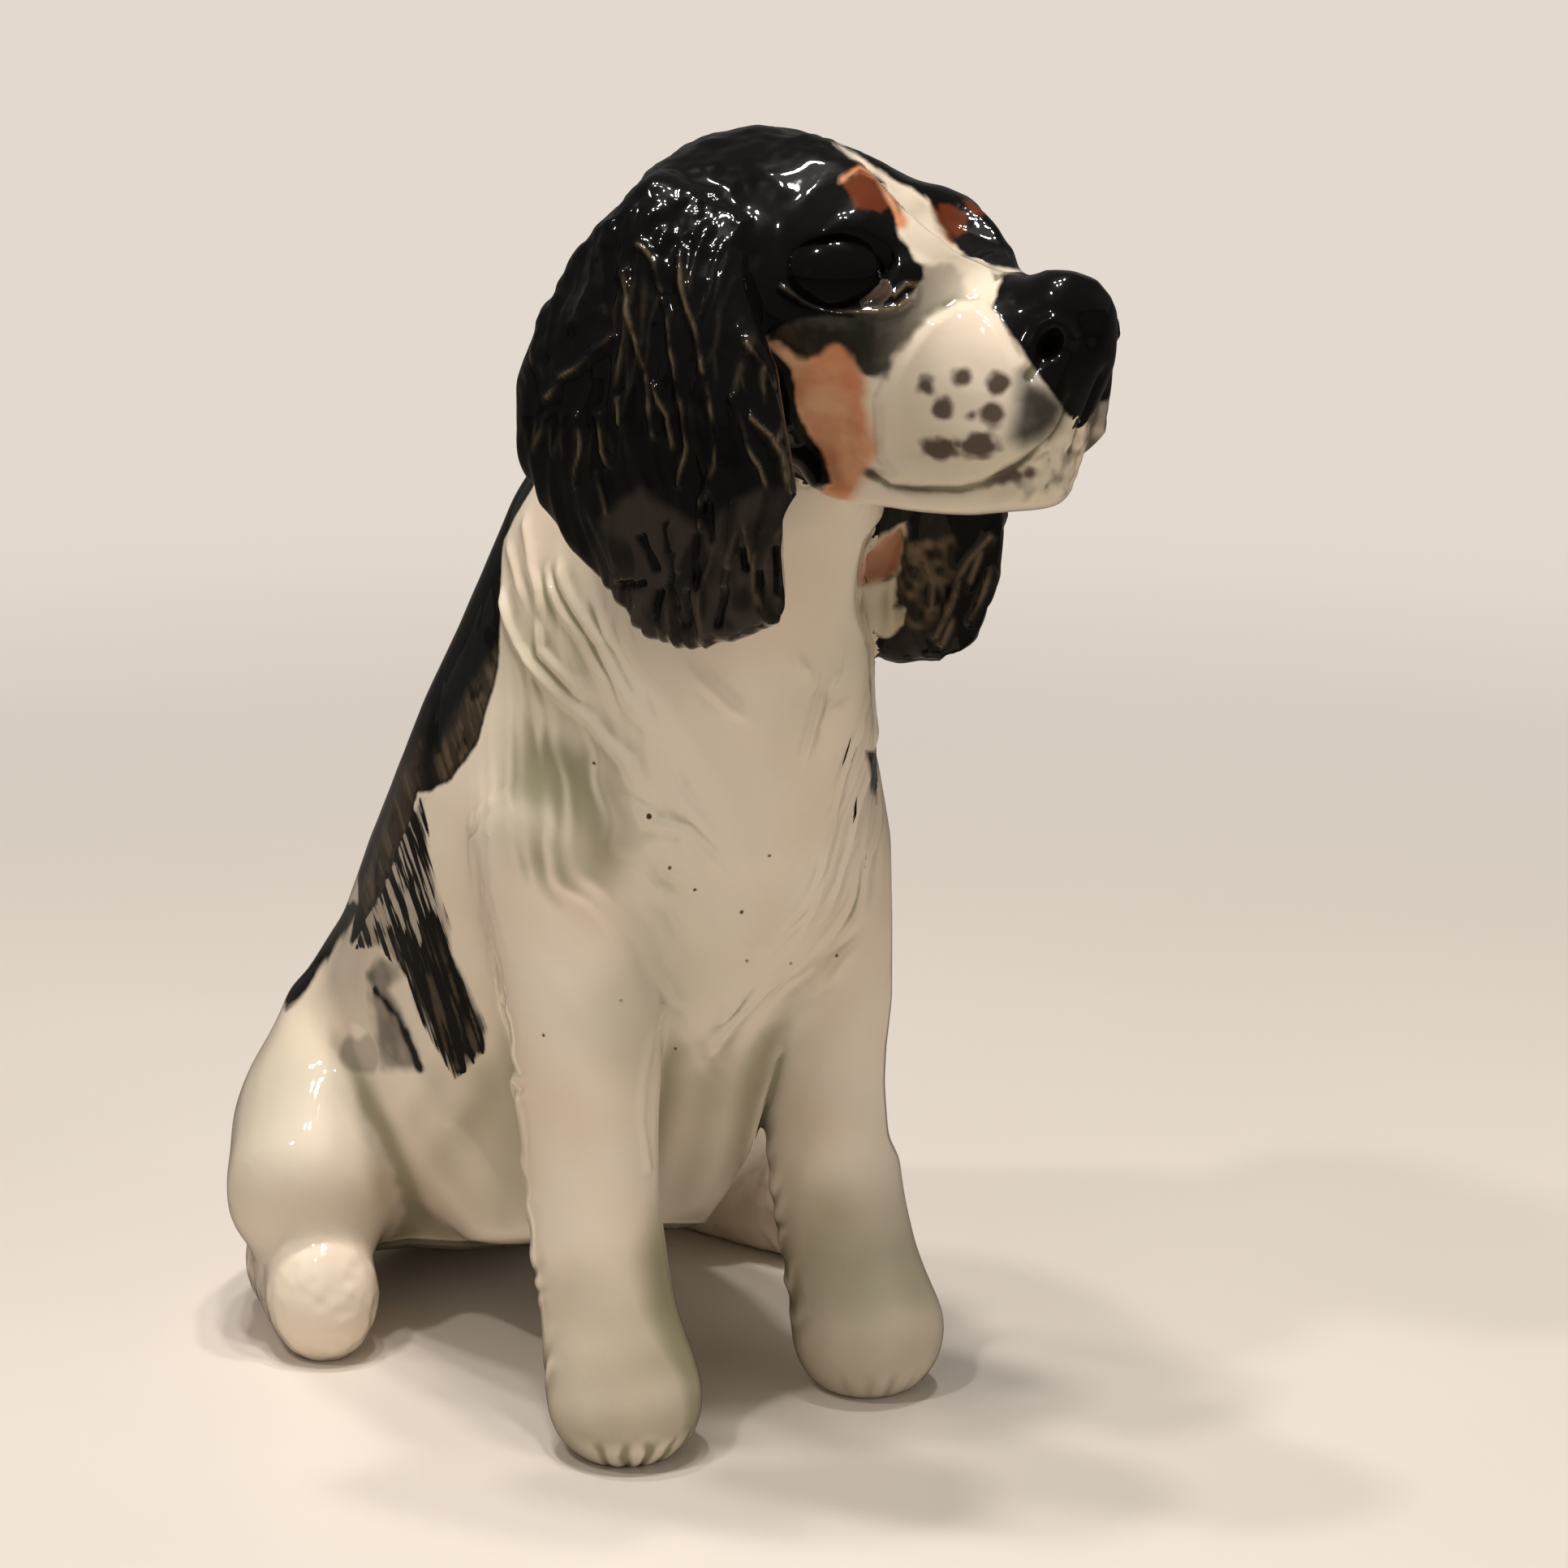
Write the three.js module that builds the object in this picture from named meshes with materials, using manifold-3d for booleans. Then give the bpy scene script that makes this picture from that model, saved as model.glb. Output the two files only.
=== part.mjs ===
// Seated spaniel figurine in glazed earthenware, built the way a maker builds one by hand:
// every piece is shaped by itself, scored, and joined to its neighbours with a thin layer of slip.
// Millimetres, +Z up. The dog faces -Y, and its right side is -X.

import * as THREE from "three";
import { mergeVertices } from "three/addons/utils/BufferGeometryUtils.js";
import Module from "manifold-3d";

const wasm = await Module();
wasm.setup();

// Slip between two joined pieces
const SLIP_GAP = 0.3;

// Trunk sections from the seat up to the nape. Each one stands on the one before it: how far it rises,
// how far it leans ahead, how far its middle lies to the dog's left, its width and its depth.
const SEAT = { up: 6, back: 43, left: 3, wide: 27, deep: 22 };
const LOIN = { rise: 12, ahead: 6.4, left: 2.5, wide: 33, deep: 31 };
const WAIST = { rise: 10, ahead: 9.2, left: 1.5, wide: 34.5, deep: 38 };
const RIBS = { rise: 10.5, ahead: 7.4, left: 0.5, wide: 35, deep: 38 };
const SHOULDER = { rise: 10.5, ahead: 5.5, left: 0, wide: 33.5, deep: 35.5 };
const NECK_BASE = { rise: 9, ahead: 3.2, left: 0, wide: 29.5, deep: 32 };
const NECK = { rise: 9, ahead: 3.5, left: 0, wide: 26, deep: 28.5 };
const NAPE = { rise: 11, ahead: 6.3, left: 0.3, wide: 20, deep: 21 };
const SEAT_ROUND = 8;
const NAPE_ROUND = 5;
const TRUNK_FULL = 2.15;

// Forelegs: two rolled coils, pressed flat under the paws and let into the shoulders: how far each one's top
// lies inside the side of the shoulders, and how far its paw stands out from there.
const RIGHT_FORELEG = { shoulder: 4.75, paw: 1.2 };
const LEFT_FORELEG = { shoulder: 6.35, paw: -0.2 };
const PAW = { back: 0, wide: 11.2, deep: 12.2, round: 5.5, pressed: 1 };
const WRIST = { rise: 6.5, ahead: -2.6, wide: 9.6, deep: 10.2 };
const FOREARM = { rise: 10, ahead: -2.4, wide: 9.6, deep: 10.4 };
const ELBOW = { rise: 13, ahead: -1.2, wide: 11, deep: 12.5 };
const LEG_TOP = { below: 2, ahead: 4.5, wide: 12, deep: 16, round: 5 };
const TOE_GROOVE = { count: 4, wide: 0.8, deep: 0.8, tall: 4, spreadDeg: 96, sides: 6 };
const LEG_FULL = 2.1;

// Hind legs: the thigh from hip to knee and the foot from heel to toes. Hip, haunch and heel are measured out
// from the side of the loin, knee and toes from the side of the waist, and all of them ahead and up from the
// middle of the seat.
const RIGHT_HIND = {
  hip: { out: -5, ahead: -1, rise: 14.8 },
  haunch: { out: -0.2, ahead: 2.8, rise: 9.4 },
  knee: { out: 4, ahead: 7.2, rise: 5.6 },
  heel: { out: 1.8, ahead: 1.2 },
  toes: { out: 5.2, ahead: 11 },
};
const LEFT_HIND = {
  hip: { out: -7.5, ahead: -0.5, rise: 14 },
  haunch: { out: -2, ahead: 4.6, rise: 9.6 },
  knee: { out: 1.25, ahead: 10.6, rise: 6.2 },
  heel: { out: 3, ahead: 3 },
  toes: { out: 5.05, ahead: 17 },
};
const HIP = { wide: 11, deep: 14.5 };
const HAUNCH = { wide: 14.5, deep: 19 };
const KNEE = { wide: 13, deep: 16.5 };
const THIGH_ROUND = 5;
const HEEL = { wide: 8.4, deep: 9.4 };
const TOES = { wide: 8.6, deep: 11 };
const FOOT_ROUND = 4.6;
const FOOT_PRESSED = 0.5;

// Tail: a short docked coil on the rump, measured from the middle of the seat
const TAIL_ROOT = { left: 1, behind: 7, rise: 6.5, wide: 9 };
const TAIL_MIDDLE = { left: 4, behind: 11.5, rise: 4, wide: 7.8 };
const TAIL_TIP = { left: 8, behind: 13.5, rise: 0.6, wide: 6 };
const TAIL_ROUND = 3;

// Head on the neck: its middle measured from the nape, how far it looks to the dog's left, and how far that
// side droops
const HEAD = { left: 0.2, ahead: 7.2, rise: 8, turnDeg: 22, droopDeg: 6 };

// Skull sections from back to front, in the head's own frame; each one lies ahead of the one before it
const OCCIPUT = { ahead: -9.3, up: 3.8, wide: 21.5, deep: 21.5 };
const CROWN = { ahead: 8, up: 2, wide: 23.5, deep: 25.4 };
const BROW = { ahead: 7.3, up: 0.8, wide: 20.5, deep: 22 };
const CHEEK = { ahead: 4.5, up: -1.5, wide: 16.5, deep: 17 };
const OCCIPUT_ROUND = 5;
const CHEEK_ROUND = 3;

// Muzzle with its hanging lips, let into the cheeks; the lower jaw under it, and the nose on its front
const MUZZLE_ROOT = { inset: 5.5, up: -2, wide: 16, deep: 15 };
const MUZZLE_BRIDGE = { ahead: 8, up: -2, wide: 13.6, deep: 14.6 };
const MUZZLE_LIPS = { ahead: 4.5, up: -2.9, wide: 14, deep: 13.8 };
const MUZZLE_FRONT = { ahead: 2.3, up: -3, wide: 12, deep: 11.8 };
const MUZZLE_ROUND = 2.2;
const MUZZLE_FULL = 2.4;
const JAW_ROOT = { inset: 7.5, up: -9.6, wide: 12, deep: 5 };
const JAW_MIDDLE = { ahead: 9, up: -10.2, wide: 10, deep: 4.4 };
const JAW_FRONT = { ahead: 6.5, up: -9.4, wide: 8, deep: 4 };
const JAW_ROUND = 2.5;
const NOSE_TIP = { ahead: 2.5, up: -4.2, wide: 3, deep: 2.6 };
const NOSE_LOW = { ahead: 3.5, up: -1.8, wide: 7, deep: 5 };
const NOSE_MIDDLE = { ahead: 4, up: 1.4, wide: 9.4, deep: 7 };
const NOSE_TOP = { ahead: 3, up: 4.2, wide: 8, deep: 7.6 };
const NOSE_ROUND = 1.2;
const NOSE_FULL = 2.5;
const NOSTRIL = { apart: 4.8, wide: 2, tall: 2.8, deep: 1.8 };

// Furrow between the brows, from the crown down to the muzzle: a scoop as wide as this, let into the skull
const FURROW = { wide: 10, back: 2, deepest: 1.7, ahead: 3.4, shallow: 0.6 };

// Eyes: a ball in a socket of the brow, under a lid that is slit like an almond
const EYE = { inset: 4.1, behind: 0.6, up: 5.6, radius: 3.6, outwardDeg: 52 };
const LID_WALL = 0.9;
const SLIT = { long: 8.2, tall: 5.2, corner: 0.4 };

// Ears: slabs that hang from the sides of the crown, combed into locks
const EAR_ROOT = { out: -2.4, back: 4.5, up: 7.6, wide: 10, deep: 5 };
const EAR_FOLD = { out: 1.5, back: 5.6, up: 2.6, wide: 16, deep: 5 };
const RIGHT_EAR = {
  middle: { out: 2.7, back: 5, up: -5.5, wide: 21, deep: 4.4 },
  low: { out: 1.7, back: 2.6, up: -13.5, wide: 19.5, deep: 4 },
  tip: { out: -0.3, back: 0.6, up: -20.2, wide: 13, deep: 3.4 },
};
const LEFT_EAR = {
  middle: { out: 4, back: 3.5, up: -7, wide: 18, deep: 4.4 },
  low: { out: 6.3, back: 0.5, up: -16, wide: 15.5, deep: 4 },
  tip: { out: 8.3, back: -0.3, up: -24.7, wide: 12, deep: 3.4 },
};
const EAR_ROUND = 2.2;
const LOCKS = 6;
const LOCK_RELIEF = 0.5;
const EAR_FULL = 2.3;

// Facets
const TRUNK_FACETS = { sides: 28, rings: 18 };
const HEAD_FACETS = { sides: 24, rings: 11 };
const LIMB_FACETS = { sides: 18, rings: 9 };
const SMALL_FACETS = { sides: 14, rings: 5 };
const EAR_FACETS = { sides: 40, rings: 9 };
const DOME_RINGS = 3;

const ACROSS = new THREE.Vector3(1, 0, 0);
const AHEAD = new THREE.Vector3(0, -1, 0);
const UPWARD = new THREE.Vector3(0, 0, 1);

// Glazes
const GLAZE_ROUGHNESS = 0.15;
const glaze = (color) => new THREE.MeshStandardMaterial({ color, roughness: GLAZE_ROUGHNESS });
const CREAM = glaze(0xe6dcc6);
const BLACK = glaze(0x14110f);

// A closed solid lofted through oval sections on a smooth spine. A section is { at, wide, deep }; wide is
// measured along side, deep square to side and to the spine. Domes round the two ends, flutes ripple the
// girth, and grow swells it all.
function loft(sections, form, grow = 0) {
  const { side, sides, rings, startRound = 0, endRound = 0, full = 2, flutes = 0, relief = 0 } = form;
  const smooth = (points) => new THREE.CatmullRomCurve3(points, false, "catmullrom");
  const spine = smooth(sections.map((s) => s.at));
  const girth = smooth(sections.map((s) => new THREE.Vector3(s.wide, s.deep, 0)));
  const positions = [];
  const addRing = (centre, tangent, wide, deep) => {
    const u = side.clone().addScaledVector(tangent, -side.dot(tangent)).normalize();
    const v = new THREE.Vector3().crossVectors(tangent, u);
    for (let j = 0; j < sides; j++) {
      const angle = (2 * Math.PI * j) / sides;
      const [c, s] = [Math.cos(angle), Math.sin(angle)];
      const ripple = 1 + (relief / Math.min(wide, deep)) * Math.cos(flutes * 2 * angle);
      const power = 2 / full;
      const p = centre.clone();
      p.addScaledVector(u, Math.sign(c) * Math.abs(c) ** power * (wide / 2));
      p.addScaledVector(v, Math.sign(s) * Math.abs(s) ** power * (deep / 2) * ripple);
      positions.push(p.x, p.y, p.z);
    }
  };
  const dome = (t, length, sense) => {
    const tangent = spine.getTangent(t);
    const centre = spine.getPoint(t);
    const g = girth.getPoint(t);
    const steps = length > 0 ? DOME_RINGS : 0;
    const order = [...Array(steps).keys()].map((k) => ((k + 1) / (steps + 1)) * (Math.PI / 2));
    if (sense < 0) order.reverse();
    for (const angle of order) {
      const middle = centre.clone().addScaledVector(tangent, sense * (length + grow) * Math.sin(angle));
      addRing(middle, tangent, (g.x + 2 * grow) * Math.cos(angle), (g.y + 2 * grow) * Math.cos(angle));
    }
    return centre.clone().addScaledVector(tangent, sense * (length + grow));
  };
  const startPole = dome(0, startRound, -1);
  for (let i = 0; i <= rings; i++) {
    const t = i / rings;
    const g = girth.getPoint(t);
    addRing(spine.getPoint(t), spine.getTangent(t), g.x + 2 * grow, g.y + 2 * grow);
  }
  const endPole = dome(1, endRound, 1);
  const count = positions.length / 3 / sides;
  const [first, last] = [count * sides, count * sides + 1];
  positions.push(...startPole.toArray(), ...endPole.toArray());
  const index = [];
  for (let j = 0; j < sides; j++) {
    const k = (j + 1) % sides;
    index.push(first, k, j, last, (count - 1) * sides + j, (count - 1) * sides + k);
    for (let i = 0; i < count - 1; i++) {
      const [a, b, c, d] = [i * sides + j, i * sides + k, (i + 1) * sides + k, (i + 1) * sides + j];
      index.push(a, b, c, a, c, d);
    }
  }
  const geometry = new THREE.BufferGeometry();
  geometry.setAttribute("position", new THREE.Float32BufferAttribute(positions, 3));
  geometry.setIndex(index);
  return geometry;
}

// A geometry as a solid, and a solid as a geometry
function toSolid(geometry) {
  const bare = geometry.clone();
  for (const name of Object.keys(bare.attributes)) if (name !== "position") bare.deleteAttribute(name);
  const merged = mergeVertices(bare, 1e-4);
  const vertProperties = new Float32Array(merged.attributes.position.array);
  const triVerts = new Uint32Array(merged.index.array);
  return new wasm.Manifold(new wasm.Mesh({ numProp: 3, vertProperties, triVerts }));
}

function toGeometry(solid) {
  const mesh = solid.getMesh();
  const geometry = new THREE.BufferGeometry();
  geometry.setAttribute("position", new THREE.Float32BufferAttribute(mesh.vertProperties, mesh.numProp));
  geometry.setIndex(new THREE.BufferAttribute(mesh.triVerts, 1));
  geometry.computeVertexNormals();
  return geometry;
}

// The largest body of a cut piece; crumbs that a cut leaves are wiped away
function largest(solid) {
  return solid.decompose().sort((a, b) => b.volume() - a.volume())[0];
}

// The shelf that the figure stands on, which flattens everything that reaches below it
const FLOOR_DEPTH = 40;
const FLOOR_SPREAD = 400;
const floor = toSolid(
  new THREE.BoxGeometry(FLOOR_SPREAD, FLOOR_SPREAD, FLOOR_DEPTH).translate(0, 0, -FLOOR_DEPTH / 2),
);

// A run of sections from a starting place. Ahead and rise are steps from the section before; up and left are
// places, and count from the middle of the run's own frame.
function run(sections, { back = 0, up = 0 } = {}) {
  const placed = [];
  let y = back;
  let z = up;
  for (const s of sections) {
    y -= s.ahead ?? 0;
    z = s.up ?? z + (s.rise ?? 0);
    placed.push({ at: new THREE.Vector3(s.left ?? 0, y, z), wide: s.wide, deep: s.deep });
  }
  return placed;
}

// Trunk line, and the places on it that carry the head and the legs
const trunkLine = run([SEAT, LOIN, WAIST, RIBS, SHOULDER, NECK_BASE, NECK, NAPE], { back: SEAT.back });
const seatMiddle = trunkLine[0].at;
const shoulderMiddle = trunkLine[4].at;
const napeMiddle = trunkLine[7].at;

const figure = new THREE.Group();
const head = new THREE.Group();
const headDroop = THREE.MathUtils.degToRad(HEAD.droopDeg);
const headTurn = THREE.MathUtils.degToRad(HEAD.turnDeg);
head.position.copy(napeMiddle).add(new THREE.Vector3(HEAD.left, -HEAD.ahead, HEAD.rise));
head.rotation.set(0, headDroop, headTurn, "ZYX");
figure.add(head);
figure.updateMatrixWorld(true);

// Pieces already in place, swollen by the slip gap, so that each later piece is cut to seat on them
const inPlace = [];

// Seats a piece in a group: build(grow) gives its outline in the group's frame, cuts are hollows in it
function seat(group, name, material, build, { cuts = [], clearOf = inPlace } = {}) {
  const toFigure = (geometry) => toSolid(geometry.clone().applyMatrix4(group.matrixWorld));
  let solid = toFigure(build(0)).subtract(floor);
  for (const neighbour of clearOf) solid = solid.subtract(neighbour);
  for (const cut of cuts) solid = solid.subtract(toFigure(cut));
  inPlace.push(toFigure(build(SLIP_GAP)));
  const geometry = toGeometry(largest(solid)).applyMatrix4(group.matrixWorld.clone().invert());
  const mesh = new THREE.Mesh(geometry, material);
  mesh.name = name;
  group.add(mesh);
}

const SIDES = [
  { name: "right", x: -1 },
  { name: "left", x: 1 },
];

// Trunk and neck
const trunkForm = {
  side: ACROSS,
  ...TRUNK_FACETS,
  startRound: SEAT_ROUND,
  endRound: NAPE_ROUND,
  full: TRUNK_FULL,
};
seat(figure, "trunk", CREAM, (grow) => loft(trunkLine, trunkForm, grow));

// Skull with its eye sockets
const skullLine = run([OCCIPUT, CROWN, BROW, CHEEK]);
const [, crown, brow, cheek] = skullLine;
const LID_RADIUS = EYE.radius + SLIP_GAP + LID_WALL;
const eyeMiddle = (x) => new THREE.Vector3(x * (brow.wide / 2 - EYE.inset), brow.at.y + EYE.behind, EYE.up);
const ball = (radius, x) =>
  new THREE.SphereGeometry(radius, SMALL_FACETS.sides, SMALL_FACETS.rings + 2).translate(...eyeMiddle(x));
const sockets = SIDES.map(({ x }) => ball(LID_RADIUS + SLIP_GAP, x));
const skullTop = (section, sunk) => section.at.z + section.deep / 2 + FURROW.wide / 2 - sunk;
const scoop = [
  { y: crown.at.y - FURROW.back, z: skullTop(crown, 0) },
  { y: brow.at.y, z: skullTop(brow, FURROW.deepest) },
  { y: cheek.at.y, z: skullTop(cheek, FURROW.shallow) },
  { y: cheek.at.y - FURROW.ahead, z: skullTop(cheek, FURROW.deepest) },
].map(({ y, z }) => ({ at: new THREE.Vector3(0, y, z), wide: FURROW.wide, deep: FURROW.wide }));
const furrow = loft(scoop, { side: ACROSS, ...SMALL_FACETS });
const skullForm = { side: ACROSS, ...HEAD_FACETS, startRound: OCCIPUT_ROUND, endRound: CHEEK_ROUND };
seat(head, "skull", BLACK, (grow) => loft(skullLine, skullForm, grow), { cuts: [...sockets, furrow] });

// Eyeballs and lids
for (const { name, x } of SIDES) {
  const turn = x * THREE.MathUtils.degToRad(EYE.outwardDeg);
  const look = new THREE.Vector3(Math.sin(turn), -Math.cos(turn), 0);
  const along = new THREE.Vector3().crossVectors(look, UPWARD);
  const slit = [-1, 0, 1].map((end) => ({
    at: eyeMiddle(x).addScaledVector(along, (end * SLIT.long) / 2).addScaledVector(look, LID_RADIUS),
    wide: 3 * LID_RADIUS,
    deep: end === 0 ? SLIT.tall : SLIT.corner,
  }));
  const backHalf = new THREE.BoxGeometry(4 * LID_RADIUS, 2 * LID_RADIUS, 4 * LID_RADIUS)
    .translate(0, LID_RADIUS, 0)
    .rotateZ(turn)
    .translate(...eyeMiddle(x));
  seat(head, name + "_eye", BLACK, (grow) => ball(EYE.radius + grow, x), { clearOf: [] });
  seat(head, name + "_eyelid", BLACK, (grow) => ball(LID_RADIUS + grow, x), {
    clearOf: [],
    cuts: [ball(EYE.radius + SLIP_GAP, x), backHalf, loft(slit, { side: look, ...SMALL_FACETS })],
  });
}

// Muzzle, jaw and nose, each let into what carries it by its root's inset
const behindCheek = (root) => ({ back: cheek.at.y + root.inset });
const muzzleLine = run([MUZZLE_ROOT, MUZZLE_BRIDGE, MUZZLE_LIPS, MUZZLE_FRONT], behindCheek(MUZZLE_ROOT));
const muzzleForm = { side: ACROSS, ...LIMB_FACETS, endRound: MUZZLE_ROUND, full: MUZZLE_FULL };
seat(head, "muzzle", CREAM, (grow) => loft(muzzleLine, muzzleForm, grow));
const jawLine = run([JAW_ROOT, JAW_MIDDLE, JAW_FRONT], behindCheek(JAW_ROOT));
const jawForm = { side: ACROSS, ...SMALL_FACETS, endRound: JAW_ROUND, full: MUZZLE_FULL };
seat(head, "lower_jaw", CREAM, (grow) => loft(jawLine, jawForm, grow));
const muzzleFront = muzzleLine.at(-1).at.y;
const noseLine = [NOSE_TIP, NOSE_LOW, NOSE_MIDDLE, NOSE_TOP].map((s) => ({
  at: new THREE.Vector3(0, muzzleFront - s.ahead + s.deep / 2, s.up),
  wide: s.wide,
  deep: s.deep,
}));
const nostrils = SIDES.map(({ x }) =>
  new THREE.SphereGeometry(1, SMALL_FACETS.sides, SMALL_FACETS.rings)
    .scale(NOSTRIL.wide / 2, NOSTRIL.deep, NOSTRIL.tall / 2)
    .translate((x * NOSTRIL.apart) / 2, muzzleFront - NOSE_MIDDLE.ahead, NOSE_MIDDLE.up),
);
const noseForm = {
  side: ACROSS,
  ...SMALL_FACETS,
  startRound: NOSE_ROUND,
  endRound: NOSE_ROUND,
  full: NOSE_FULL,
};
seat(head, "nose", BLACK, (grow) => loft(noseLine, noseForm, grow), { cuts: nostrils });

// Ears, hung from the widest part of the crown
const earForm = {
  side: AHEAD,
  ...EAR_FACETS,
  endRound: EAR_ROUND,
  full: EAR_FULL,
  flutes: LOCKS,
  relief: LOCK_RELIEF,
};
for (const { name, x } of SIDES) {
  const flap = x < 0 ? RIGHT_EAR : LEFT_EAR;
  const ear = [EAR_ROOT, EAR_FOLD, flap.middle, flap.low, flap.tip].map((s) => ({
    at: new THREE.Vector3(x * (crown.wide / 2 + s.out), s.back, s.up),
    wide: s.wide,
    deep: s.deep,
  }));
  seat(head, name + "_ear", BLACK, (grow) => loft(ear, earForm, grow));
}

// Forelegs, with grooves between the toes
const pawUp = PAW.round - PAW.pressed;
const legForm = {
  side: ACROSS,
  ...LIMB_FACETS,
  startRound: PAW.round,
  endRound: LEG_TOP.round,
  full: LEG_FULL,
};
for (const { name, x } of SIDES) {
  const place = x < 0 ? RIGHT_FORELEG : LEFT_FORELEG;
  const shoulderOut = x * (SHOULDER.wide / 2 - place.shoulder);
  const pawOut = shoulderOut + x * place.paw;
  const coil = run([PAW, WRIST, FOREARM, ELBOW], { back: PAW.back, up: pawUp });
  const top = new THREE.Vector3(shoulderOut, -LEG_TOP.ahead, -LEG_TOP.below).add(shoulderMiddle);
  const leg = [...coil, { at: top, wide: LEG_TOP.wide, deep: LEG_TOP.deep }];
  const lean = (top.x - pawOut) / (top.z - pawUp);
  for (const section of leg) section.at.x = pawOut + lean * (section.at.z - pawUp);
  const grooves = [...Array(TOE_GROOVE.count).keys()].map((k) => {
    const angle = THREE.MathUtils.degToRad(TOE_GROOVE.spreadDeg * (k / (TOE_GROOVE.count - 1) - 0.5));
    const radius = TOE_GROOVE.wide / 2;
    return new THREE.CylinderGeometry(radius, radius, TOE_GROOVE.tall, TOE_GROOVE.sides)
      .rotateX(Math.PI / 2)
      .translate(0, -PAW.deep / 2 + TOE_GROOVE.deep - radius, TOE_GROOVE.tall / 2)
      .rotateZ(angle)
      .translate(pawOut, PAW.back, 0);
  });
  seat(figure, name + "_foreleg", CREAM, (grow) => loft(leg, legForm, grow), { cuts: grooves });
}

// Hind legs
const across = (line) => line.at(-1).at.clone().sub(line[0].at).cross(UPWARD).normalize();
for (const { name, x } of SIDES) {
  const hind = x < 0 ? RIGHT_HIND : LEFT_HIND;
  const beside = (flank, p, up) =>
    new THREE.Vector3(seatMiddle.x + x * (flank.wide / 2 + p.out), seatMiddle.y - p.ahead, up);
  const thigh = [
    { at: beside(LOIN, hind.hip, seatMiddle.z + hind.hip.rise), ...HIP },
    { at: beside(LOIN, hind.haunch, seatMiddle.z + hind.haunch.rise), ...HAUNCH },
    { at: beside(WAIST, hind.knee, seatMiddle.z + hind.knee.rise), ...KNEE },
  ];
  const foot = [
    { at: beside(LOIN, hind.heel, HEEL.deep / 2 - FOOT_PRESSED), ...HEEL },
    { at: beside(WAIST, hind.toes, TOES.deep / 2 - FOOT_PRESSED), ...TOES },
  ];
  const thighForm = { side: across(thigh), ...LIMB_FACETS, startRound: THIGH_ROUND, endRound: THIGH_ROUND };
  const footForm = { side: across(foot), ...SMALL_FACETS, startRound: FOOT_ROUND, endRound: FOOT_ROUND };
  seat(figure, name + "_thigh", CREAM, (grow) => loft(thigh, thighForm, grow));
  seat(figure, name + "_hind_foot", CREAM, (grow) => loft(foot, footForm, grow));
}

// Tail
const tail = [TAIL_ROOT, TAIL_MIDDLE, TAIL_TIP].map((s) => ({
  at: seatMiddle.clone().add(new THREE.Vector3(s.left, s.behind, s.rise)),
  wide: s.wide,
  deep: s.wide,
}));
const tailForm = { side: UPWARD, ...SMALL_FACETS, endRound: TAIL_ROUND };
seat(figure, "tail", CREAM, (grow) => loft(tail, tailForm, grow));

// The origin is the middle of the figure's box, on the shelf
const box = new THREE.Box3().setFromObject(figure, true);
const boxMiddle = box.getCenter(new THREE.Vector3());
figure.position.set(-boxMiddle.x, -boxMiddle.y, 0);

const part = new THREE.Group();
part.add(figure);

export default part;
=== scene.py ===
"""Seated spaniel figurine in glazed earthenware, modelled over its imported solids.

The solids are gathered into one clay body whose joins are softened. The clay is then
carved with hair, toes and lips, painted, and parted again into closed pieces.
"""

from __future__ import annotations

import logging
import math
from dataclasses import dataclass, field
from enum import Enum
from typing import Sequence

import bmesh
import bpy
import numpy as np
from mathutils import Matrix, Vector
from mathutils.bvhtree import BVHTree


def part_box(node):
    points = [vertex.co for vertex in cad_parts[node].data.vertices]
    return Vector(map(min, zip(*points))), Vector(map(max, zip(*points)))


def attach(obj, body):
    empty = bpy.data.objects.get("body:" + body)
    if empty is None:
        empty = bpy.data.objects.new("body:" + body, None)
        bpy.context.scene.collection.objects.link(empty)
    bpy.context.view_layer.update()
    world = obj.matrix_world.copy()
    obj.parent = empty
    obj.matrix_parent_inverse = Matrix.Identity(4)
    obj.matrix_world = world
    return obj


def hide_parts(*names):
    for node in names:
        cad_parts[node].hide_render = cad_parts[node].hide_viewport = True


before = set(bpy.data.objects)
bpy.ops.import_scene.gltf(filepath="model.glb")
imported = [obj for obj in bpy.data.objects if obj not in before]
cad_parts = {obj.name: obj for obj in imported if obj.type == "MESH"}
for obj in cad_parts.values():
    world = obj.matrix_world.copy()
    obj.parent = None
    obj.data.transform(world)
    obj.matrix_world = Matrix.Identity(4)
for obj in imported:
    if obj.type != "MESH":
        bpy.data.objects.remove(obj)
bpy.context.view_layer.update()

LOG = logging.getLogger("figurine")
Array = np.ndarray
# Points of a line or of a closed outline, in order.
Line = Sequence[tuple[float, float]]
Lines = Sequence[Line]
# Where a fade starts and where it is full.
Span = tuple[float, float]
Colour = tuple[float, ...]
Socket = bpy.types.NodeSocket
MM = 0.001
FIGURE_SHIFT = np.array((-2.5753, -15.6306, 0.0))
HEAD_CENTRE = np.array((0.5, -5.7, 86.0))
HEAD_TURN = math.radians(22.0)
HEAD_DROOP = math.radians(6.0)
HEAD_POSE = np.array(Matrix.Rotation(HEAD_TURN, 3, "Z") @ Matrix.Rotation(HEAD_DROOP, 3, "Y"))
# Height, back and left of the middle of the trunk.
TRUNK_LINE = np.array(
    (
        (6.0, 43.0, 3.0), (18.0, 36.6, 2.5), (28.0, 27.4, 1.5), (38.5, 20.0, 0.5), (49.0, 14.5, 0.0),
        (58.0, 11.3, 0.0), (67.0, 7.8, 0.0), (78.0, 1.5, 0.3),
    )
)
GIRTH_RADIUS = 16.0
# Millimetres round the trunk for each degree.
GIRTH = GIRTH_RADIUS * math.pi / 180.0
# The right and the left of the figure.
HANDS = (-1.0, 1.0)
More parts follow.
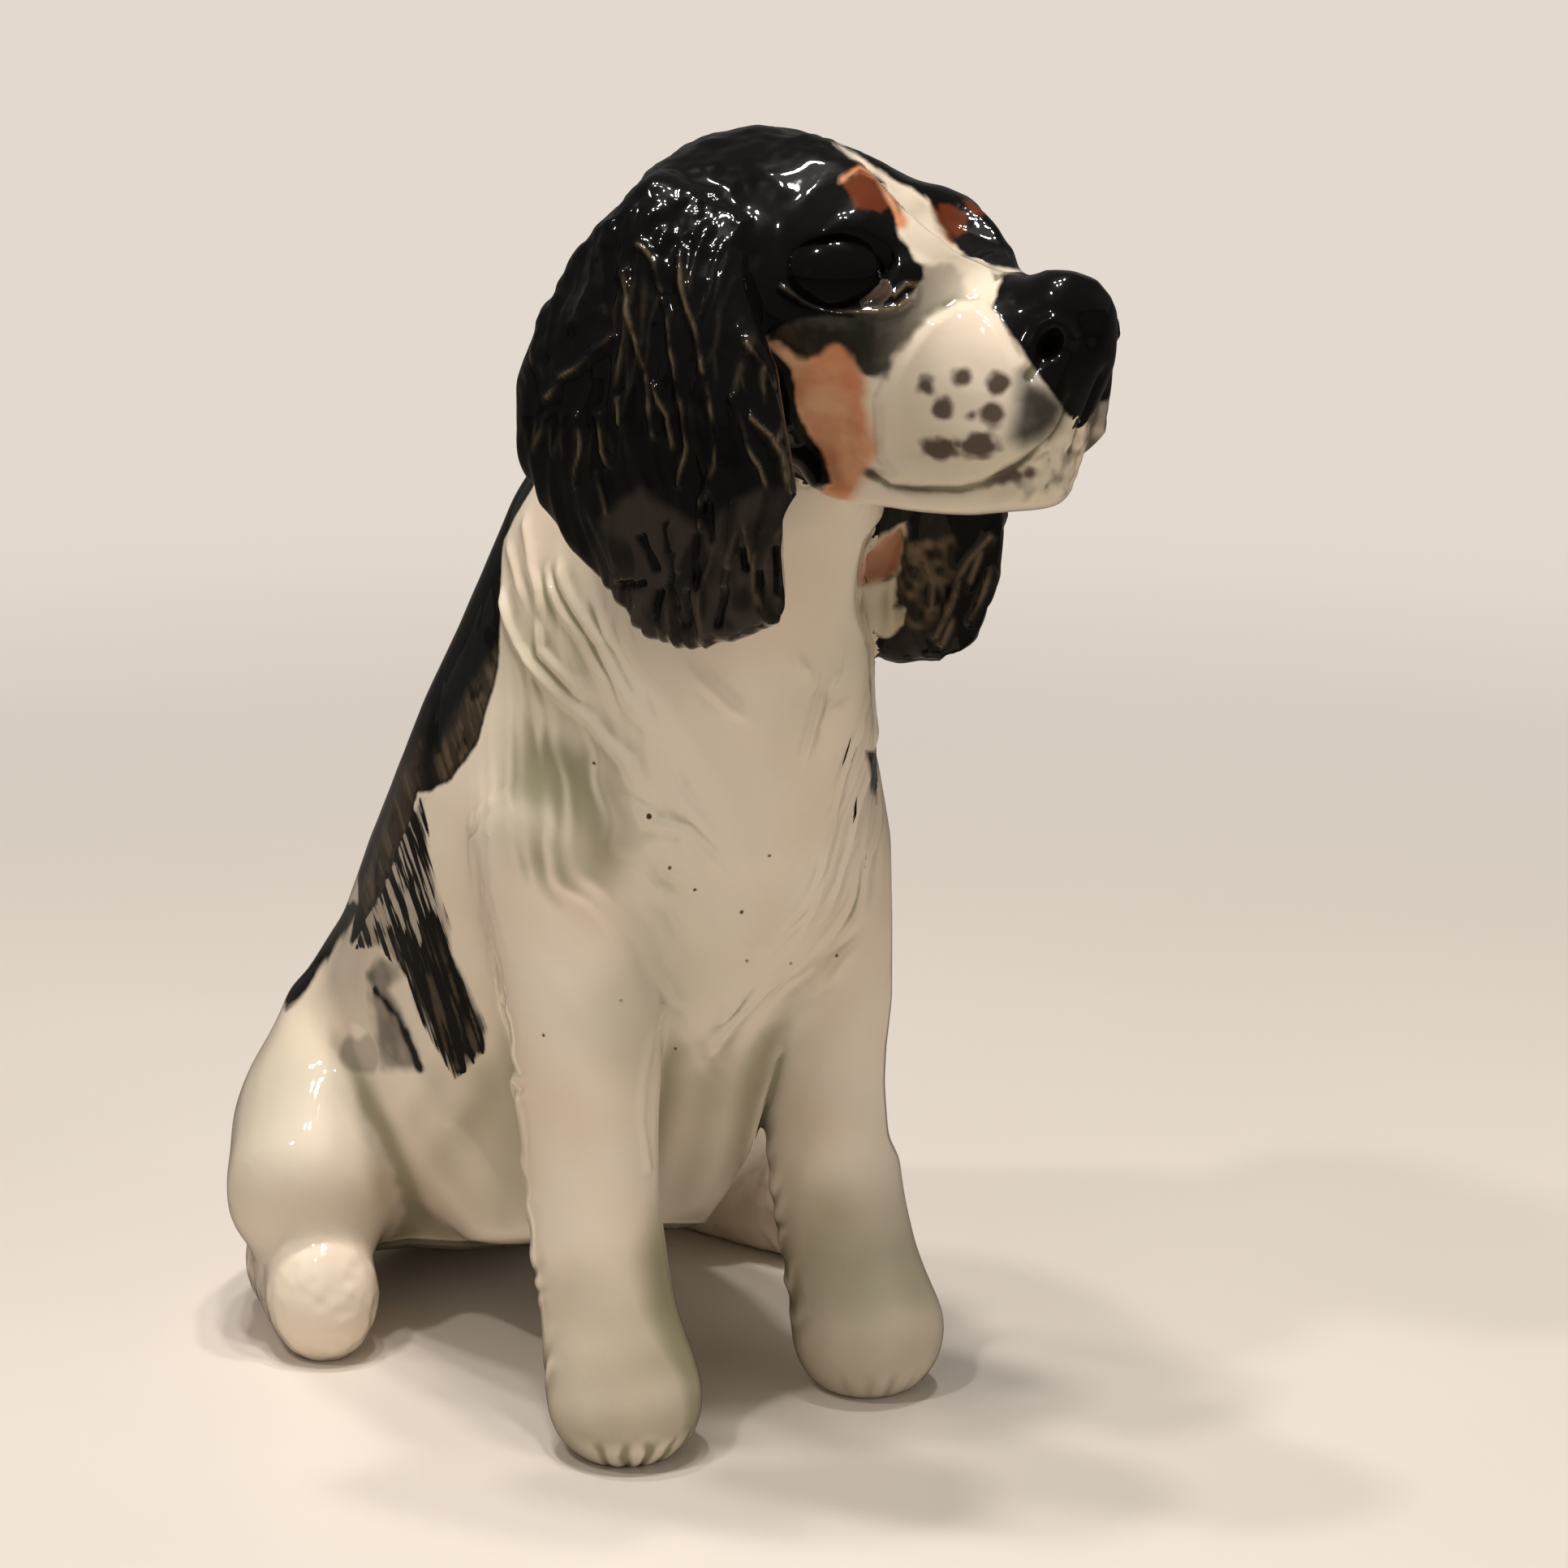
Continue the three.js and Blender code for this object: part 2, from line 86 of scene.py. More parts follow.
# Distances that stand for no mark at all, and for paint all over.
NO_MARK = -20.0
COVERED = 5.0
# Share of a mask below which a point is left out, and share of its neighbours that smoothing takes.
FAINT = 0.02
MIX = 0.6


class Part(Enum):
    """The clay parts, by the node that each one follows."""

    TRUNK = "trunk"
    RIGHT_FORELEG = "right_foreleg"
    LEFT_FORELEG = "left_foreleg"
    RIGHT_THIGH = "right_thigh"
    LEFT_THIGH = "left_thigh"
    RIGHT_HIND_FOOT = "right_hind_foot"
    LEFT_HIND_FOOT = "left_hind_foot"
    TAIL = "tail"
    SKULL = "skull"
    MUZZLE = "muzzle"
    LOWER_JAW = "lower_jaw"
    NOSE = "nose"
    RIGHT_EAR = "right_ear"
    LEFT_EAR = "left_ear"


class Way(Enum):
    """The ways in which clay is brought back to an outline of the photograph."""

    DOWN = "down"
    UP = "up"
    LEFT = "left"


class Slot(Enum):
    """The finishes that the pieces are listed with."""

    CREAM = "cream_glaze"
    BLACK = "black_glaze"
    EYE = "eye_glaze"


PARTS = list(Part)
ORDER = {part: index for index, part in enumerate(PARTS)}
FORELEGS = (Part.RIGHT_FORELEG, Part.LEFT_FORELEG)
THIGHS = (Part.RIGHT_THIGH, Part.LEFT_THIGH)
HIND_FEET = (Part.RIGHT_HIND_FOOT, Part.LEFT_HIND_FOOT)
EARS = (Part.RIGHT_EAR, Part.LEFT_EAR)
HEAD = (Part.SKULL, Part.MUZZLE, Part.LOWER_JAW, Part.NOSE)


def linear(red: int, green: int, blue: int) -> Colour:
    """Gives a screen colour as the linear colour that a shader takes.

    Args:
        red: red, from 0 to 255.
        green: green, from 0 to 255.
        blue: blue, from 0 to 255.

    Returns:
        The linear colour, with a full alpha.
    """
    shares = [value / 255.0 for value in (red, green, blue)]
    curve = [share / 12.92 if share <= 0.04045 else ((share + 0.055) / 1.055) ** 2.4 for share in shares]
    return (*curve, 1.0)


def step(low: float, high: float, value: Array) -> Array:
    """Rises smoothly from 0 at low to 1 at high, whichever of the two is larger."""
    share = np.clip((value - low) / (high - low), 0.0, 1.0)
    return share * share * (3.0 - 2.0 * share)


def ridge(gap: Array, width: float) -> Array:
    """Is 1 on a line and falls off smoothly over about a width on either side."""
    return np.exp(-((gap / width) ** 2))


def chance(index: Array, seed: int) -> Array:
    """Gives each whole number its own fixed share.

    Args:
        index: the whole numbers.
        seed: picks one row of shares among many.

    Returns:
        A share from 0 to 1 for each of them.
    """
    mixed = index.astype(np.int64) * 374761393 + seed * 668265263
    mixed = (mixed ^ (mixed >> 13)) * 1274126177
    return ((mixed ^ (mixed >> 16)) & 0xFFFF) / 65535.0


def drift(points: Array, length: float, seed: int) -> Array:
    """Smooth noise from -1 to 1 over points.

    Args:
        points: places, one row each.
        length: size of a bump, in the unit of the points.
        seed: picks one noise among many.

    Returns:
        One value for each row.
    """
    scaled = points / length + seed * 7.137
    cell = np.floor(scaled).astype(np.int64)
    inner = scaled - cell
    inner = inner * inner * (3.0 - 2.0 * inner)
    total = np.zeros(len(points))
    for corner in range(8):
        bits = np.array((corner & 1, (corner >> 1) & 1, (corner >> 2) & 1))
        key = cell + bits
        mixed = key[:, 0] * 73856093 ^ key[:, 1] * 19349663 ^ key[:, 2] * 83492791
        weight = np.prod(np.where(bits, inner, 1.0 - inner), axis=1)
        total += (chance(mixed, seed) * 2.0 - 1.0) * weight
    return total


def add_object(name: str, data: bpy.types.ID) -> bpy.types.Object:
    """Puts a new object into the scene.

    Args:
        name: its name.
        data: its mesh, lamp or camera.

    Returns:
        The object.
    """
    made = bpy.data.objects.new(name, data)
    bpy.context.scene.collection.objects.link(made)
    return made


def to_outline(across: Array, up: Array, outline: Line) -> Array:
    """Signed distance from points to a closed outline on a flat map, positive inside.

    Args:
        across: first coordinate of the points.
        up: second coordinate of the points.
        outline: corners of the outline in order.

    Returns:
        One distance for each point.
    """
    corners = np.array(outline, float)
    nearest = np.full(len(across), 1e9)
    inside = np.zeros(len(across), bool)
    for start, end in zip(corners, np.roll(corners, -1, axis=0)):
        side = end - start
        along = ((across - start[0]) * side[0] + (up - start[1]) * side[1]) / (side @ side)
        along = np.clip(along, 0.0, 1.0)
        gap = np.hypot(across - start[0] - along * side[0], up - start[1] - along * side[1])
        nearest = np.minimum(nearest, gap)
        crosses = (start[1] > up) != (end[1] > up)
        rise = side[1] if side[1] != 0.0 else 1e-9
        inside ^= crosses & (across < start[0] + (up - start[1]) * side[0] / rise)
    return np.where(inside, nearest, -nearest)


def to_path(points: Array, path: Sequence[Sequence[float]]) -> Array:
    """Distance from points to a line through a row of places.

    Args:
        points: places, one row each.
        path: the places that the line joins, in order.

    Returns:
        One distance for each row.
    """
    stops = np.array(path, float)
    nearest = np.full(len(points), 1e9)
    for start, end in zip(stops, stops[1:]):
        run = end - start
        along = np.clip(((points - start) @ run) / max(run @ run, 1e-9), 0.0, 1.0)
        nearest = np.minimum(nearest, np.linalg.norm(points - start - along[:, None] * run, axis=1))
    return nearest


@dataclass(frozen=True)
class Sight:
    """The photograph's view of the figure, in the figure's frame and in millimetres."""

    azimuth: float = math.radians(-38.0)
    elevation: float = math.radians(15.0)
    distance: float = 420.0
    field_angle: float = math.radians(16.0)
    target: tuple[float, float, float] = (2.0, 0.0, 50.0)
    frame_width: float = 1932.0
    # Width of one step of the frame on the figure.
    stride: float = 0.062

    def away(self) -> Array:
        """The way from the target to the eye, one long."""
        flat = math.cos(self.elevation)
        return np.array(
            (math.sin(self.azimuth) * flat, -math.cos(self.azimuth) * flat, math.sin(self.elevation))
        )

    def leftward(self) -> Array:
        """The way to the left of the frame, one long."""
        return np.array((-math.cos(self.azimuth), -math.sin(self.azimuth), 0.0))

    def lay_out(self, points: Array) -> Array:
        """Finds where points show on the frame.

        Args:
            points: places in the figure's frame, one row each.

        Returns:
            Steps to the right and steps down from the frame's top left corner.
        """
        away = self.away()
        right = np.cross(-away, (0.0, 0.0, 1.0))
        right /= np.linalg.norm(right)
        above = np.cross(right, -away)
        seen = points - np.array(self.target) - away * self.distance
        half = self.frame_width / 2.0
        scale = half / math.tan(self.field_angle / 2.0) / (seen @ -away)
        return np.stack((half + (seen @ right) * scale, half - (seen @ above) * scale), axis=1)

    def inside(self, spots: Array, outline: Line) -> Array:
        """Signed distance in millimetres from places on the frame to an outline, positive inside."""
        return to_outline(spots[:, 0], spots[:, 1], outline) * self.stride

    def beside(self, spots: Array, path: Line) -> Array:
        """Distance in millimetres from places on the frame to a line."""
        return to_path(spots, path) * self.stride

    def patch(self, spots: Array, outline: Line, where: Array) -> Array:
        """Signed distance to an outline where a test holds, and no mark elsewhere."""
        return np.where(where, self.inside(spots, outline), NO_MARK)


SIGHT = Sight()


@dataclass(frozen=True)
class Comb:
    """Ridges of hair side by side, as a loop tool leaves them in clay, in millimetres."""

    spacing: float
    height: float
    width: float
    wander: float
    wander_length: float
    break_length: float
    seed: int

    def ridges(self, across: Array, places: Array) -> tuple[Array, Array]:
        """Raises the ridges.

        Args:
            across: place across the ridges.
            places: the same points in the figure's frame, for the wander.

        Returns:
            A height for each point, and how near it is to the top of a ridge, from 0 to 1.
        """
        sway = drift(places, self.wander_length, self.seed)
        sway = sway + 0.4 * drift(places, 0.4 * self.wander_length, self.seed + 1)
        phase = (across + self.wander * sway) / self.spacing
        index = np.floor(phase)
        height = np.zeros(len(across))
        crest = np.zeros(len(across))
        for shift in (-1, 0, 1):
            key = index + shift
            gap = (phase - key - 0.5 - 0.7 * (chance(key, self.seed) - 0.5)) * self.spacing
            strength = 0.35 + 0.65 * chance(key, self.seed + 2)
            own = places + np.stack((key * 3.7, key * 0.0, key * 0.0), axis=1)
            broken = 0.8 + 0.9 * drift(own, self.break_length, self.seed + 3)
            strength = np.clip(strength * broken, 0.0, 1.0)
            height = np.maximum(height, strength * ridge(gap, self.width))
            crest = np.maximum(crest, strength * ridge(gap, 0.35 * self.width))
        return self.height * height, crest


@dataclass
class Clay:
    """The clay surface in millimetres, in the figure's own frame."""

    points: Array
    faces: Array
    normals: Array
    part: Array
    marks: dict[str, Array] = field(default_factory=dict)

    def __post_init__(self) -> None:
        """Keeps the edges that smoothing walks along."""
        sides = np.concatenate([self.faces[:, (k, (k + 1) % 4)] for k in range(4)])
        sides.sort(axis=1)
        keys = np.unique(sides[:, 0].astype(np.int64) * len(self.points) + sides[:, 1])
        self.edges = np.stack((keys // len(self.points), keys % len(self.points)), axis=1)

    @staticmethod
    def mix(values: Array, edges: Array, share: Array | float, rounds: int) -> Array:
        """Mixes the mean of its neighbours into each row of values.

        Args:
            values: rows or numbers.
            edges: pairs of rows that are neighbours.
            share: how much of the mean is taken, for all rows or for each.
            rounds: how many times it is taken.

        Returns:
            The mixed values.
        """
        first, second = edges.T
        count = len(values)
        degree = np.bincount(edges.ravel(), minlength=count).astype(float)
        columns = values.reshape(count, -1).T.copy()
        for _ in range(rounds):
            for column in columns:
                total = np.bincount(first, column[second], count)
                total += np.bincount(second, column[first], count)
                column += share * (total / degree - column)
        return np.ascontiguousarray(columns.T).reshape(values.shape)

    def relax(self, values: Array, rounds: int, share: Array | float) -> Array:
        """Smooths values over the surface."""
        return self.mix(values, self.edges, share, rounds)

    def calm(self, weight: Array, rounds: int) -> None:
        """Smooths the clay itself where a weight is above nothing.

        Args:
            weight: how much of its neighbours each point takes in a round.
            rounds: how many rounds.
        """
        near = weight > 0.002
        edges = self.edges[near[self.edges].any(axis=1)]
        used = np.unique(edges)
        row = np.zeros(len(self.points), np.int64)
        row[used] = np.arange(len(used))
        share = np.where(near, weight, 0.0)[used]
        self.points[used] = self.mix(self.points[used], row[edges], share, rounds)

    def is_part(self, *parts: Part) -> Array:
        """True for the points of these parts."""
        return np.isin(self.part, [ORDER[part] for part in parts])

    def soft_mask(self, rounds: int, *parts: Part) -> Array:
        """A mask of these parts with an edge that fades over the surface."""
        return self.relax(self.is_part(*parts).astype(float), rounds, MIX)

    def push(self, height: Array) -> None:
        """Moves each point along its normal by a height in millimetres."""
        self.points = self.points + self.normals * height[:, None]

    def over(self, rows: Array, values: Array) -> Array:
        """Gives values of some points as values of all points, nothing elsewhere."""
        return np.bincount(rows, values, len(self.points))

    def on_frame(self, rows: Array) -> Array:
        """Finds where points show on the photograph's frame."""
        return SIGHT.lay_out(self.points[rows])

    def turned_to_sight(self, limit: float) -> Array:
        """True for the points whose normals turn to the eye by more than a limit."""
        return self.normals @ SIGHT.away() > limit

    def find_normals(self) -> None:
        """Works out the normals anew after the clay has moved."""
        corners = self.points[self.faces]
        flat = np.cross(corners[:, 2] - corners[:, 0], corners[:, 3] - corners[:, 1])
        total = np.zeros_like(self.points)
        for corner in range(4):
            for axis in range(3):
                total[:, axis] += np.bincount(self.faces[:, corner], flat[:, axis], len(self.points))
        self.normals = total / np.maximum(np.linalg.norm(total, axis=1), 1e-12)[:, None]

    def head_points(self) -> Array:
        """The points in the head's own frame: left, back and up from its centre."""
        return (self.points - HEAD_CENTRE) @ HEAD_POSE

    def head_on_frame(self, rows: Array, mirrored: bool) -> Array:
        """Finds where points of the head show on the photograph's frame.

        Args:
            rows: which points.
            mirrored: True to take points of the left half by their mirror images on the right.

        Returns:
            Steps to the right and steps down.
        """
        places = self.head_points()[rows]
        if mirrored:
            places[:, 0] = -np.abs(places[:, 0])
        return SIGHT.lay_out(HEAD_CENTRE + places @ HEAD_POSE.T)

    def trunk_on_frame(self, rows: Array) -> Array:
        """Finds where points of the trunk, or their mirror images on its right, show on the frame.

        Args:
            rows: which points.

        Returns:
            Steps to the right and steps down.
        """
        places = self.points[rows].copy()
        middle = np.interp(places[:, 2], TRUNK_LINE[:, 0], TRUNK_LINE[:, 2])
        places[:, 0] = middle - np.abs(places[:, 0] - middle)
        return SIGHT.lay_out(places)

    def move_in_head(self, moves: Array) -> None:
        """Moves the points by steps given in the head's own frame."""
        self.points = self.points + moves @ HEAD_POSE.T

    def trim(self, rows: Array, outline: Line, way: Way, rounds: int) -> None:
        """Brings points that show outside an outline of the photograph back to it.

        Args:
            rows: which points may move.
            outline: the outline on the frame, in order of its run.
            way: which way the points outside it move.
            rounds: how much the moved clay is smoothed afterwards.
        """
        spots = self.on_frame(rows)
        run, rise = (1, 0) if way is Way.LEFT else (0, 1)
        order = sorted(outline, key=lambda point: point[run])
        places = np.array([point[run] for point in order], float)
        limit = np.interp(spots[:, run], places, [point[rise] for point in order])
        excess = (limit - spots[:, rise]) * (1.0 if way is Way.DOWN else -1.0)
        ends = 0.05 * (places[-1] - places[0])
        fade = step(places[0], places[0] + ends, spots[:, run])
        fade = fade * step(places[-1], places[-1] - ends, spots[:, run])
        move = np.maximum(excess, 0.0) * SIGHT.stride * fade
        move = np.where(move > 0.0, move - 0.12 * np.minimum(move, 2.0), 0.0)
        upright = np.array((0.0, 0.0, 1.0 if way is Way.UP else -1.0))
        self.points[rows] += move[:, None] * (SIGHT.leftward() if way is Way.LEFT else upright)
        moved = self.over(rows, step(0, 0.3, move))
        self.calm(MIX * self.relax(moved, 8, MIX), rounds)

    def around(self) -> tuple[Array, Array]:
        """Finds where points lie round the trunk.

        Returns:
            The angle from its front, in degrees to the left, and the height.
        """
        height = self.points[:, 2]
        back = np.interp(height, TRUNK_LINE[:, 0], TRUNK_LINE[:, 1])
        left = np.interp(height, TRUNK_LINE[:, 0], TRUNK_LINE[:, 2])
        angle = np.degrees(np.arctan2(self.points[:, 0] - left, back - self.points[:, 1]))
        return angle, height


@dataclass(frozen=True)
class ClayJoin:
    """How the solids are pressed into one body of clay, in millimetres."""

    swell: float = 0.24
    grain: float = 0.4
    rounds: int = 140
    spread: int = 60
    # Softening of each part's own surface, and of the surface near its joins.
    softness: tuple[tuple[tuple[Part, ...], float, float], ...] = (
        ((Part.TRUNK,), 0.12, 0.9),
        (FORELEGS, 0.2, 0.9),
        (THIGHS, 0.1, 0.7),
        (HIND_FEET, 0.03, 0.12),
        ((Part.TAIL,), 0.06, 0.3),
        ((Part.SKULL,), 0.05, 0.35),
        ((Part.MUZZLE,), 0.05, 0.5),
        ((Part.LOWER_JAW,), 0.08, 0.6),
        ((Part.NOSE,), 0.3, 0.45),
        (EARS, 0.03, 0.4),
    )

    def press(self) -> Clay:
        """Joins the solids, softens the joins and refines the surface.

        Returns:
            The clay, with each point named for the solid that it follows.
        """
        body = self.gather()
        press = body.modifiers.new("press", "REMESH")
        press.mode = "VOXEL"
        press.voxel_size = self.grain * MM * 1.0
        rough = self.read(body)
        rough.part = self.name_parts(rough.points)
        share = self.soften(rough)
        start = rough.points
        smooth = rough.relax(start, self.rounds, share)
        rough.points = smooth + rough.relax(start - smooth, self.rounds, share)
        self.write(body, rough)
        named = body.data.attributes.new("part", "INT", "FACE")
        named.data.foreach_set("value", rough.part[rough.faces[:, 0]].astype(np.int32))
        refine = body.modifiers.new("refine", "SUBSURF")
        refine.levels = 1
        refine.render_levels = 1
        clay = self.read(body)
        bpy.data.objects.remove(body)
        return clay

    def soften(self, rough: Clay) -> Array:
        """Finds how much each point of the rough clay is softened.

        Args:
            rough: the clay with its parts named.

        Returns:
            A share for each point, high near the joins.
        """
        own = np.zeros(len(rough.points))
        near = np.zeros(len(rough.points))
        join = np.zeros(len(rough.points))
        for part, plain, joined in ((part, *rest) for parts, *rest in self.softness for part in parts):
            here = rough.is_part(part)
            own[here] = plain
            near[here] = joined
            faded = rough.relax(here.astype(float), self.spread, 0.9)
            join = np.where(here, np.clip(2.0 * (1.0 - faded), 0.0, 1.0), join)
        own = rough.relax(own, 12, MIX)
        near = rough.relax(near, 12, MIX)
        return own + (near - own) * rough.relax(join, 8, MIX)

    def gather(self) -> bpy.types.Object:
        """Copies the solids into one object, each swollen so that the gaps between them close.

        Returns:
            The object.
        """
        mesh = bpy.data.meshes.new("clay")
        joined = bmesh.new()
        eyes = ["right_eye", "left_eye", "right_eyelid", "left_eyelid"]
        for name in [part.value for part in PARTS] + eyes:
            copy = bmesh.new()
            copy.from_mesh(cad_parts[name].data)
            bmesh.ops.remove_doubles(copy, verts=copy.verts, dist=1e-6)
            copy.normal_update()
            for vert in copy.verts:
                vert.co += vert.normal * self.swell * MM
            copy.to_mesh(mesh)
            joined.from_mesh(mesh)
            copy.free()
        joined.to_mesh(mesh)
        joined.free()
        return add_object("clay", mesh)

    def read(self, body: bpy.types.Object) -> Clay:
        """Reads the shown mesh of an object as clay.

        Args:
            body: object whose modifiers shape the clay.

        Returns:
            Its points, faces, normals and parts.
        """
        shown = body.evaluated_get(bpy.context.evaluated_depsgraph_get())
        mesh = bpy.data.meshes.new_from_object(shown)
        count = len(mesh.vertices)
        points = np.empty(count * 3, np.float32)
        mesh.vertices.foreach_get("co", points)
        corners = np.empty(len(mesh.loops), np.int32)
        mesh.loops.foreach_get("vertex_index", corners)
        normals = np.empty(count * 3, np.float32)
        mesh.vertex_normals.foreach_get("vector", normals)
        faces = corners.reshape(-1, 4)
        part = np.zeros(count, np.int32)
        if "part" in mesh.attributes:
            named = np.empty(len(faces), np.int32)
            mesh.attributes["part"].data.foreach_get("value", named)
            for corner in range(4):
                part[faces[:, corner]] = named
        bpy.data.meshes.remove(mesh)
        places = points.reshape(-1, 3).astype(float) / MM - FIGURE_SHIFT
        return Clay(places, faces, normals.reshape(-1, 3).astype(float), part)

    def name_parts(self, places: Array) -> Array:
        """Finds which solid each point lies nearest to.

        Args:
            places: points in the figure's frame.

        Returns:
            The place in PARTS of each point's solid.
        """
        corners: list[Vector] = []
        faces: list[tuple[int, ...]] = []
        owner: list[int] = []
        for part in PARTS:
            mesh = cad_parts[part.value].data
            base = len(corners)
            corners.extend(vert.co.copy() for vert in mesh.vertices)
            faces.extend(tuple(base + index for index in face.vertices) for face in mesh.polygons)
            owner.extend([ORDER[part]] * len(mesh.polygons))
        tree = BVHTree.FromPolygons(corners, faces)
        packed = (places + FIGURE_SHIFT) * MM
        return np.array([owner[tree.find_nearest(Vector(place))[2]] for place in packed])

    def write(self, body: bpy.types.Object, clay: Clay) -> None:
        """Puts clay into an object as a plain mesh with no modifiers.

        Args:
            body: object that takes the mesh.
            clay: points and faces to write.
        """
        mesh = bpy.data.meshes.new("clay")
        packed = ((clay.points + FIGURE_SHIFT) * MM).astype(np.float32)
        mesh.vertices.add(len(packed))
        mesh.vertices.foreach_set("co", packed.ravel())
        mesh.loops.add(clay.faces.size)
        mesh.loops.foreach_set("vertex_index", clay.faces.astype(np.int32).ravel())
        mesh.polygons.add(len(clay.faces))
        mesh.polygons.foreach_set("loop_start", np.arange(0, clay.faces.size, 4, dtype=np.int32))
        mesh.update(calc_edges=True)
        body.modifiers.clear()
        body.data = mesh


@dataclass(frozen=True)
class Cord:
    """One raised strand of hair on the trunk."""

    height: float
    width: float
    # Angle from the front, to the left, and height.
    path: Line
    mirrored: bool = False


@dataclass
class Coat:
    """The combed hair of neck and chest, and the saddle and patches painted on the trunk."""

    fine_comb: Comb = Comb(1.7, 0.11, 0.45, 1.1, 6.0, 5.0, 31)
    comb_slope: float = 0.63
    # The dip between back and right thigh, how much it is filled, and how far round.
    notch: tuple[float, float, float] = (-10.8, 43.0, 27.6)
    notch_fill: float = 1.1
    notch_reach: float = 4.2
    # Seen edge of the neck and chest, on the photograph's frame.
    breast: Line = (
        (1100, 600), (1085, 640), (1064, 665), (1056, 700), (1053, 745), (1062, 775), (1069, 800),
        (1071, 840), (1076, 900), (1085, 960), (1097, 1030), (1098, 1086), (1098, 1229), (1090, 1290),
        (1088, 1335), (1093, 1400), (1110, 1440),
    )
    # How far the belly hangs down between the forelegs, and where that fades.
    belly_sag: float = 6.0
    sag_level: Span = (30, 20)
    sag_right: Span = (-14, -8)
    sag_left: Span = (8.5, 2.5)
    sag_back: Span = (32, 20)
    # Heights between which the breast's edge is trimmed, and how far back.
    breast_level: Span = (12, 80)
    breast_back: float = 16.0
    # How high, how far back and how far left the hem is trimmed.
    hem_reach: tuple[float, float, float] = (16.0, 52.0, 14.0)
    # Heights between which the hair is raised.
    hair_level: Span = (24, 78)
    # A black stroke that shows at the left edge of the chest.
    far_mark: Line = ((1068, 926), (1092, 926), (1112, 1024), (1086, 1030), (1076, 980))
    # How far left the chest begins for that stroke.
    chest_from: float = 4.0
    # A black stroke along the back's edge, above the right thigh.
    back_line: Line = (
        (436, 1110), (444, 1118), (408, 1174), (378, 1222), (352, 1244), (340, 1200), (400, 1120),
    )
    # Lower edge of the belly.
    hem: Line = (
        (420, 1560), (457, 1533), (505, 1525), (565, 1529), (649, 1525), (700, 1518), (809, 1507),
        (902, 1507), (938, 1470), (960, 1440),
    )
    cords: tuple[Cord, ...] = (
        Cord(0.6, 0.45, ((116, 65.1), (94, 61), (74, 58.6), (58, 56.7), (46, 53.6), (38, 50.8)), True),
        Cord(0.45, 0.4, ((93, 64.1), (84, 61.2), (67, 59.1), (60, 57.7)), True),
        Cord(0.55, 0.42, ((96, 67.1), (80, 64.2), (70, 62.6), (57, 59.5), (52, 57.9)), True),
        Cord(0.6, 0.45, ((95, 68.3), (81, 65.8), (63, 62.6), (50, 58.8), (39, 56)), True),
        Cord(0.4, 0.35, ((74, 67), (62, 63.3), (56, 61.8)), True),
        Cord(0.4, 0.35, ((64, 66), (53, 62.5), (50, 61.3)), True),
        Cord(0.45, 0.45, ((124, 70.5), (107, 67.7), (95, 65.5), (86, 62.8)), True),
        Cord(0.35, 0.4, ((125, 68.4), (109, 66.1), (97, 63.9)), True),
        Cord(0.5, 0.5, ((-36, 61.6), (-28, 59.4), (-22, 58), (-14, 56.4))),
        Cord(0.5, 0.45, ((-35, 53.5), (-32, 51.7), (-28, 50.2), (-20, 47.9))),
        Cord(0.5, 0.45, ((-42, 51), (-36, 49), (-28, 48.3), (-23, 46.7), (-16, 44.3))),
        Cord(0.45, 0.45, ((-33, 46.8), (-29, 45.3), (-22, 43.4))),
        Cord(0.4, 0.45, ((-30, 43.3), (-24, 41.4), (-20, 40))),
        Cord(0.45, 0.35, ((8, 59.5), (6, 57.9), (4, 55.2), (3, 52.1))),
        Cord(0.35, 0.35, ((19, 57.2), (10, 56.6), (8, 55.4))),
        Cord(0.45, 0.4, ((31, 55.2), (22, 52.6), (15, 48.7), (8, 41.2))),
        Cord(0.45, 0.4, ((38, 50.9), (24, 46.9), (19, 42.7), (15, 38.8))),
        Cord(0.4, 0.4, ((47, 47.1), (32, 42.6), (24, 38.3), (17, 35.8))),
        Cord(0.35, 0.4, ((-5, 61.9), (0, 60.1), (4, 58.6))),
        Cord(0.35, 0.35, ((14, 61.1), (12, 59.5), (8, 57.8))),
        Cord(0.35, 0.35, ((28, 42.1), (24, 40), (17, 36.8))),
        Cord(0.35, 0.35, ((12, 43.6), (9, 39.6), (8, 37.6))),
        Cord(0.45, 0.4, ((23, 36.3), (18, 34.9), (13, 32.4))),
        Cord(0.35, 0.35, ((12, 34.3), (7, 33.4), (4, 32.4))),
        Cord(0.55, 0.5, ((8, 35), (0, 33.9), (-6, 31.1), (-10, 27.9))),
        Cord(0.35, 0.4, ((-4, 34.9), (-6, 33.6), (-9, 30.3))),
    )
    # Angle from the front and height of the painted edges.
    saddle: Line = (
        (126, 68), (110, 63.5), (99, 59), (94, 53.5), (99, 49.8), (106, 48.4), (112, 47.6), (110, 45.5),
        (110.5, 42), (113, 38.5), (117, 35), (121, 32.4), (124, 32.4), (128, 36), (142, 37.5), (182, 38),
        (182, 98), (148, 92), (136, 80), (129, 72),
    )
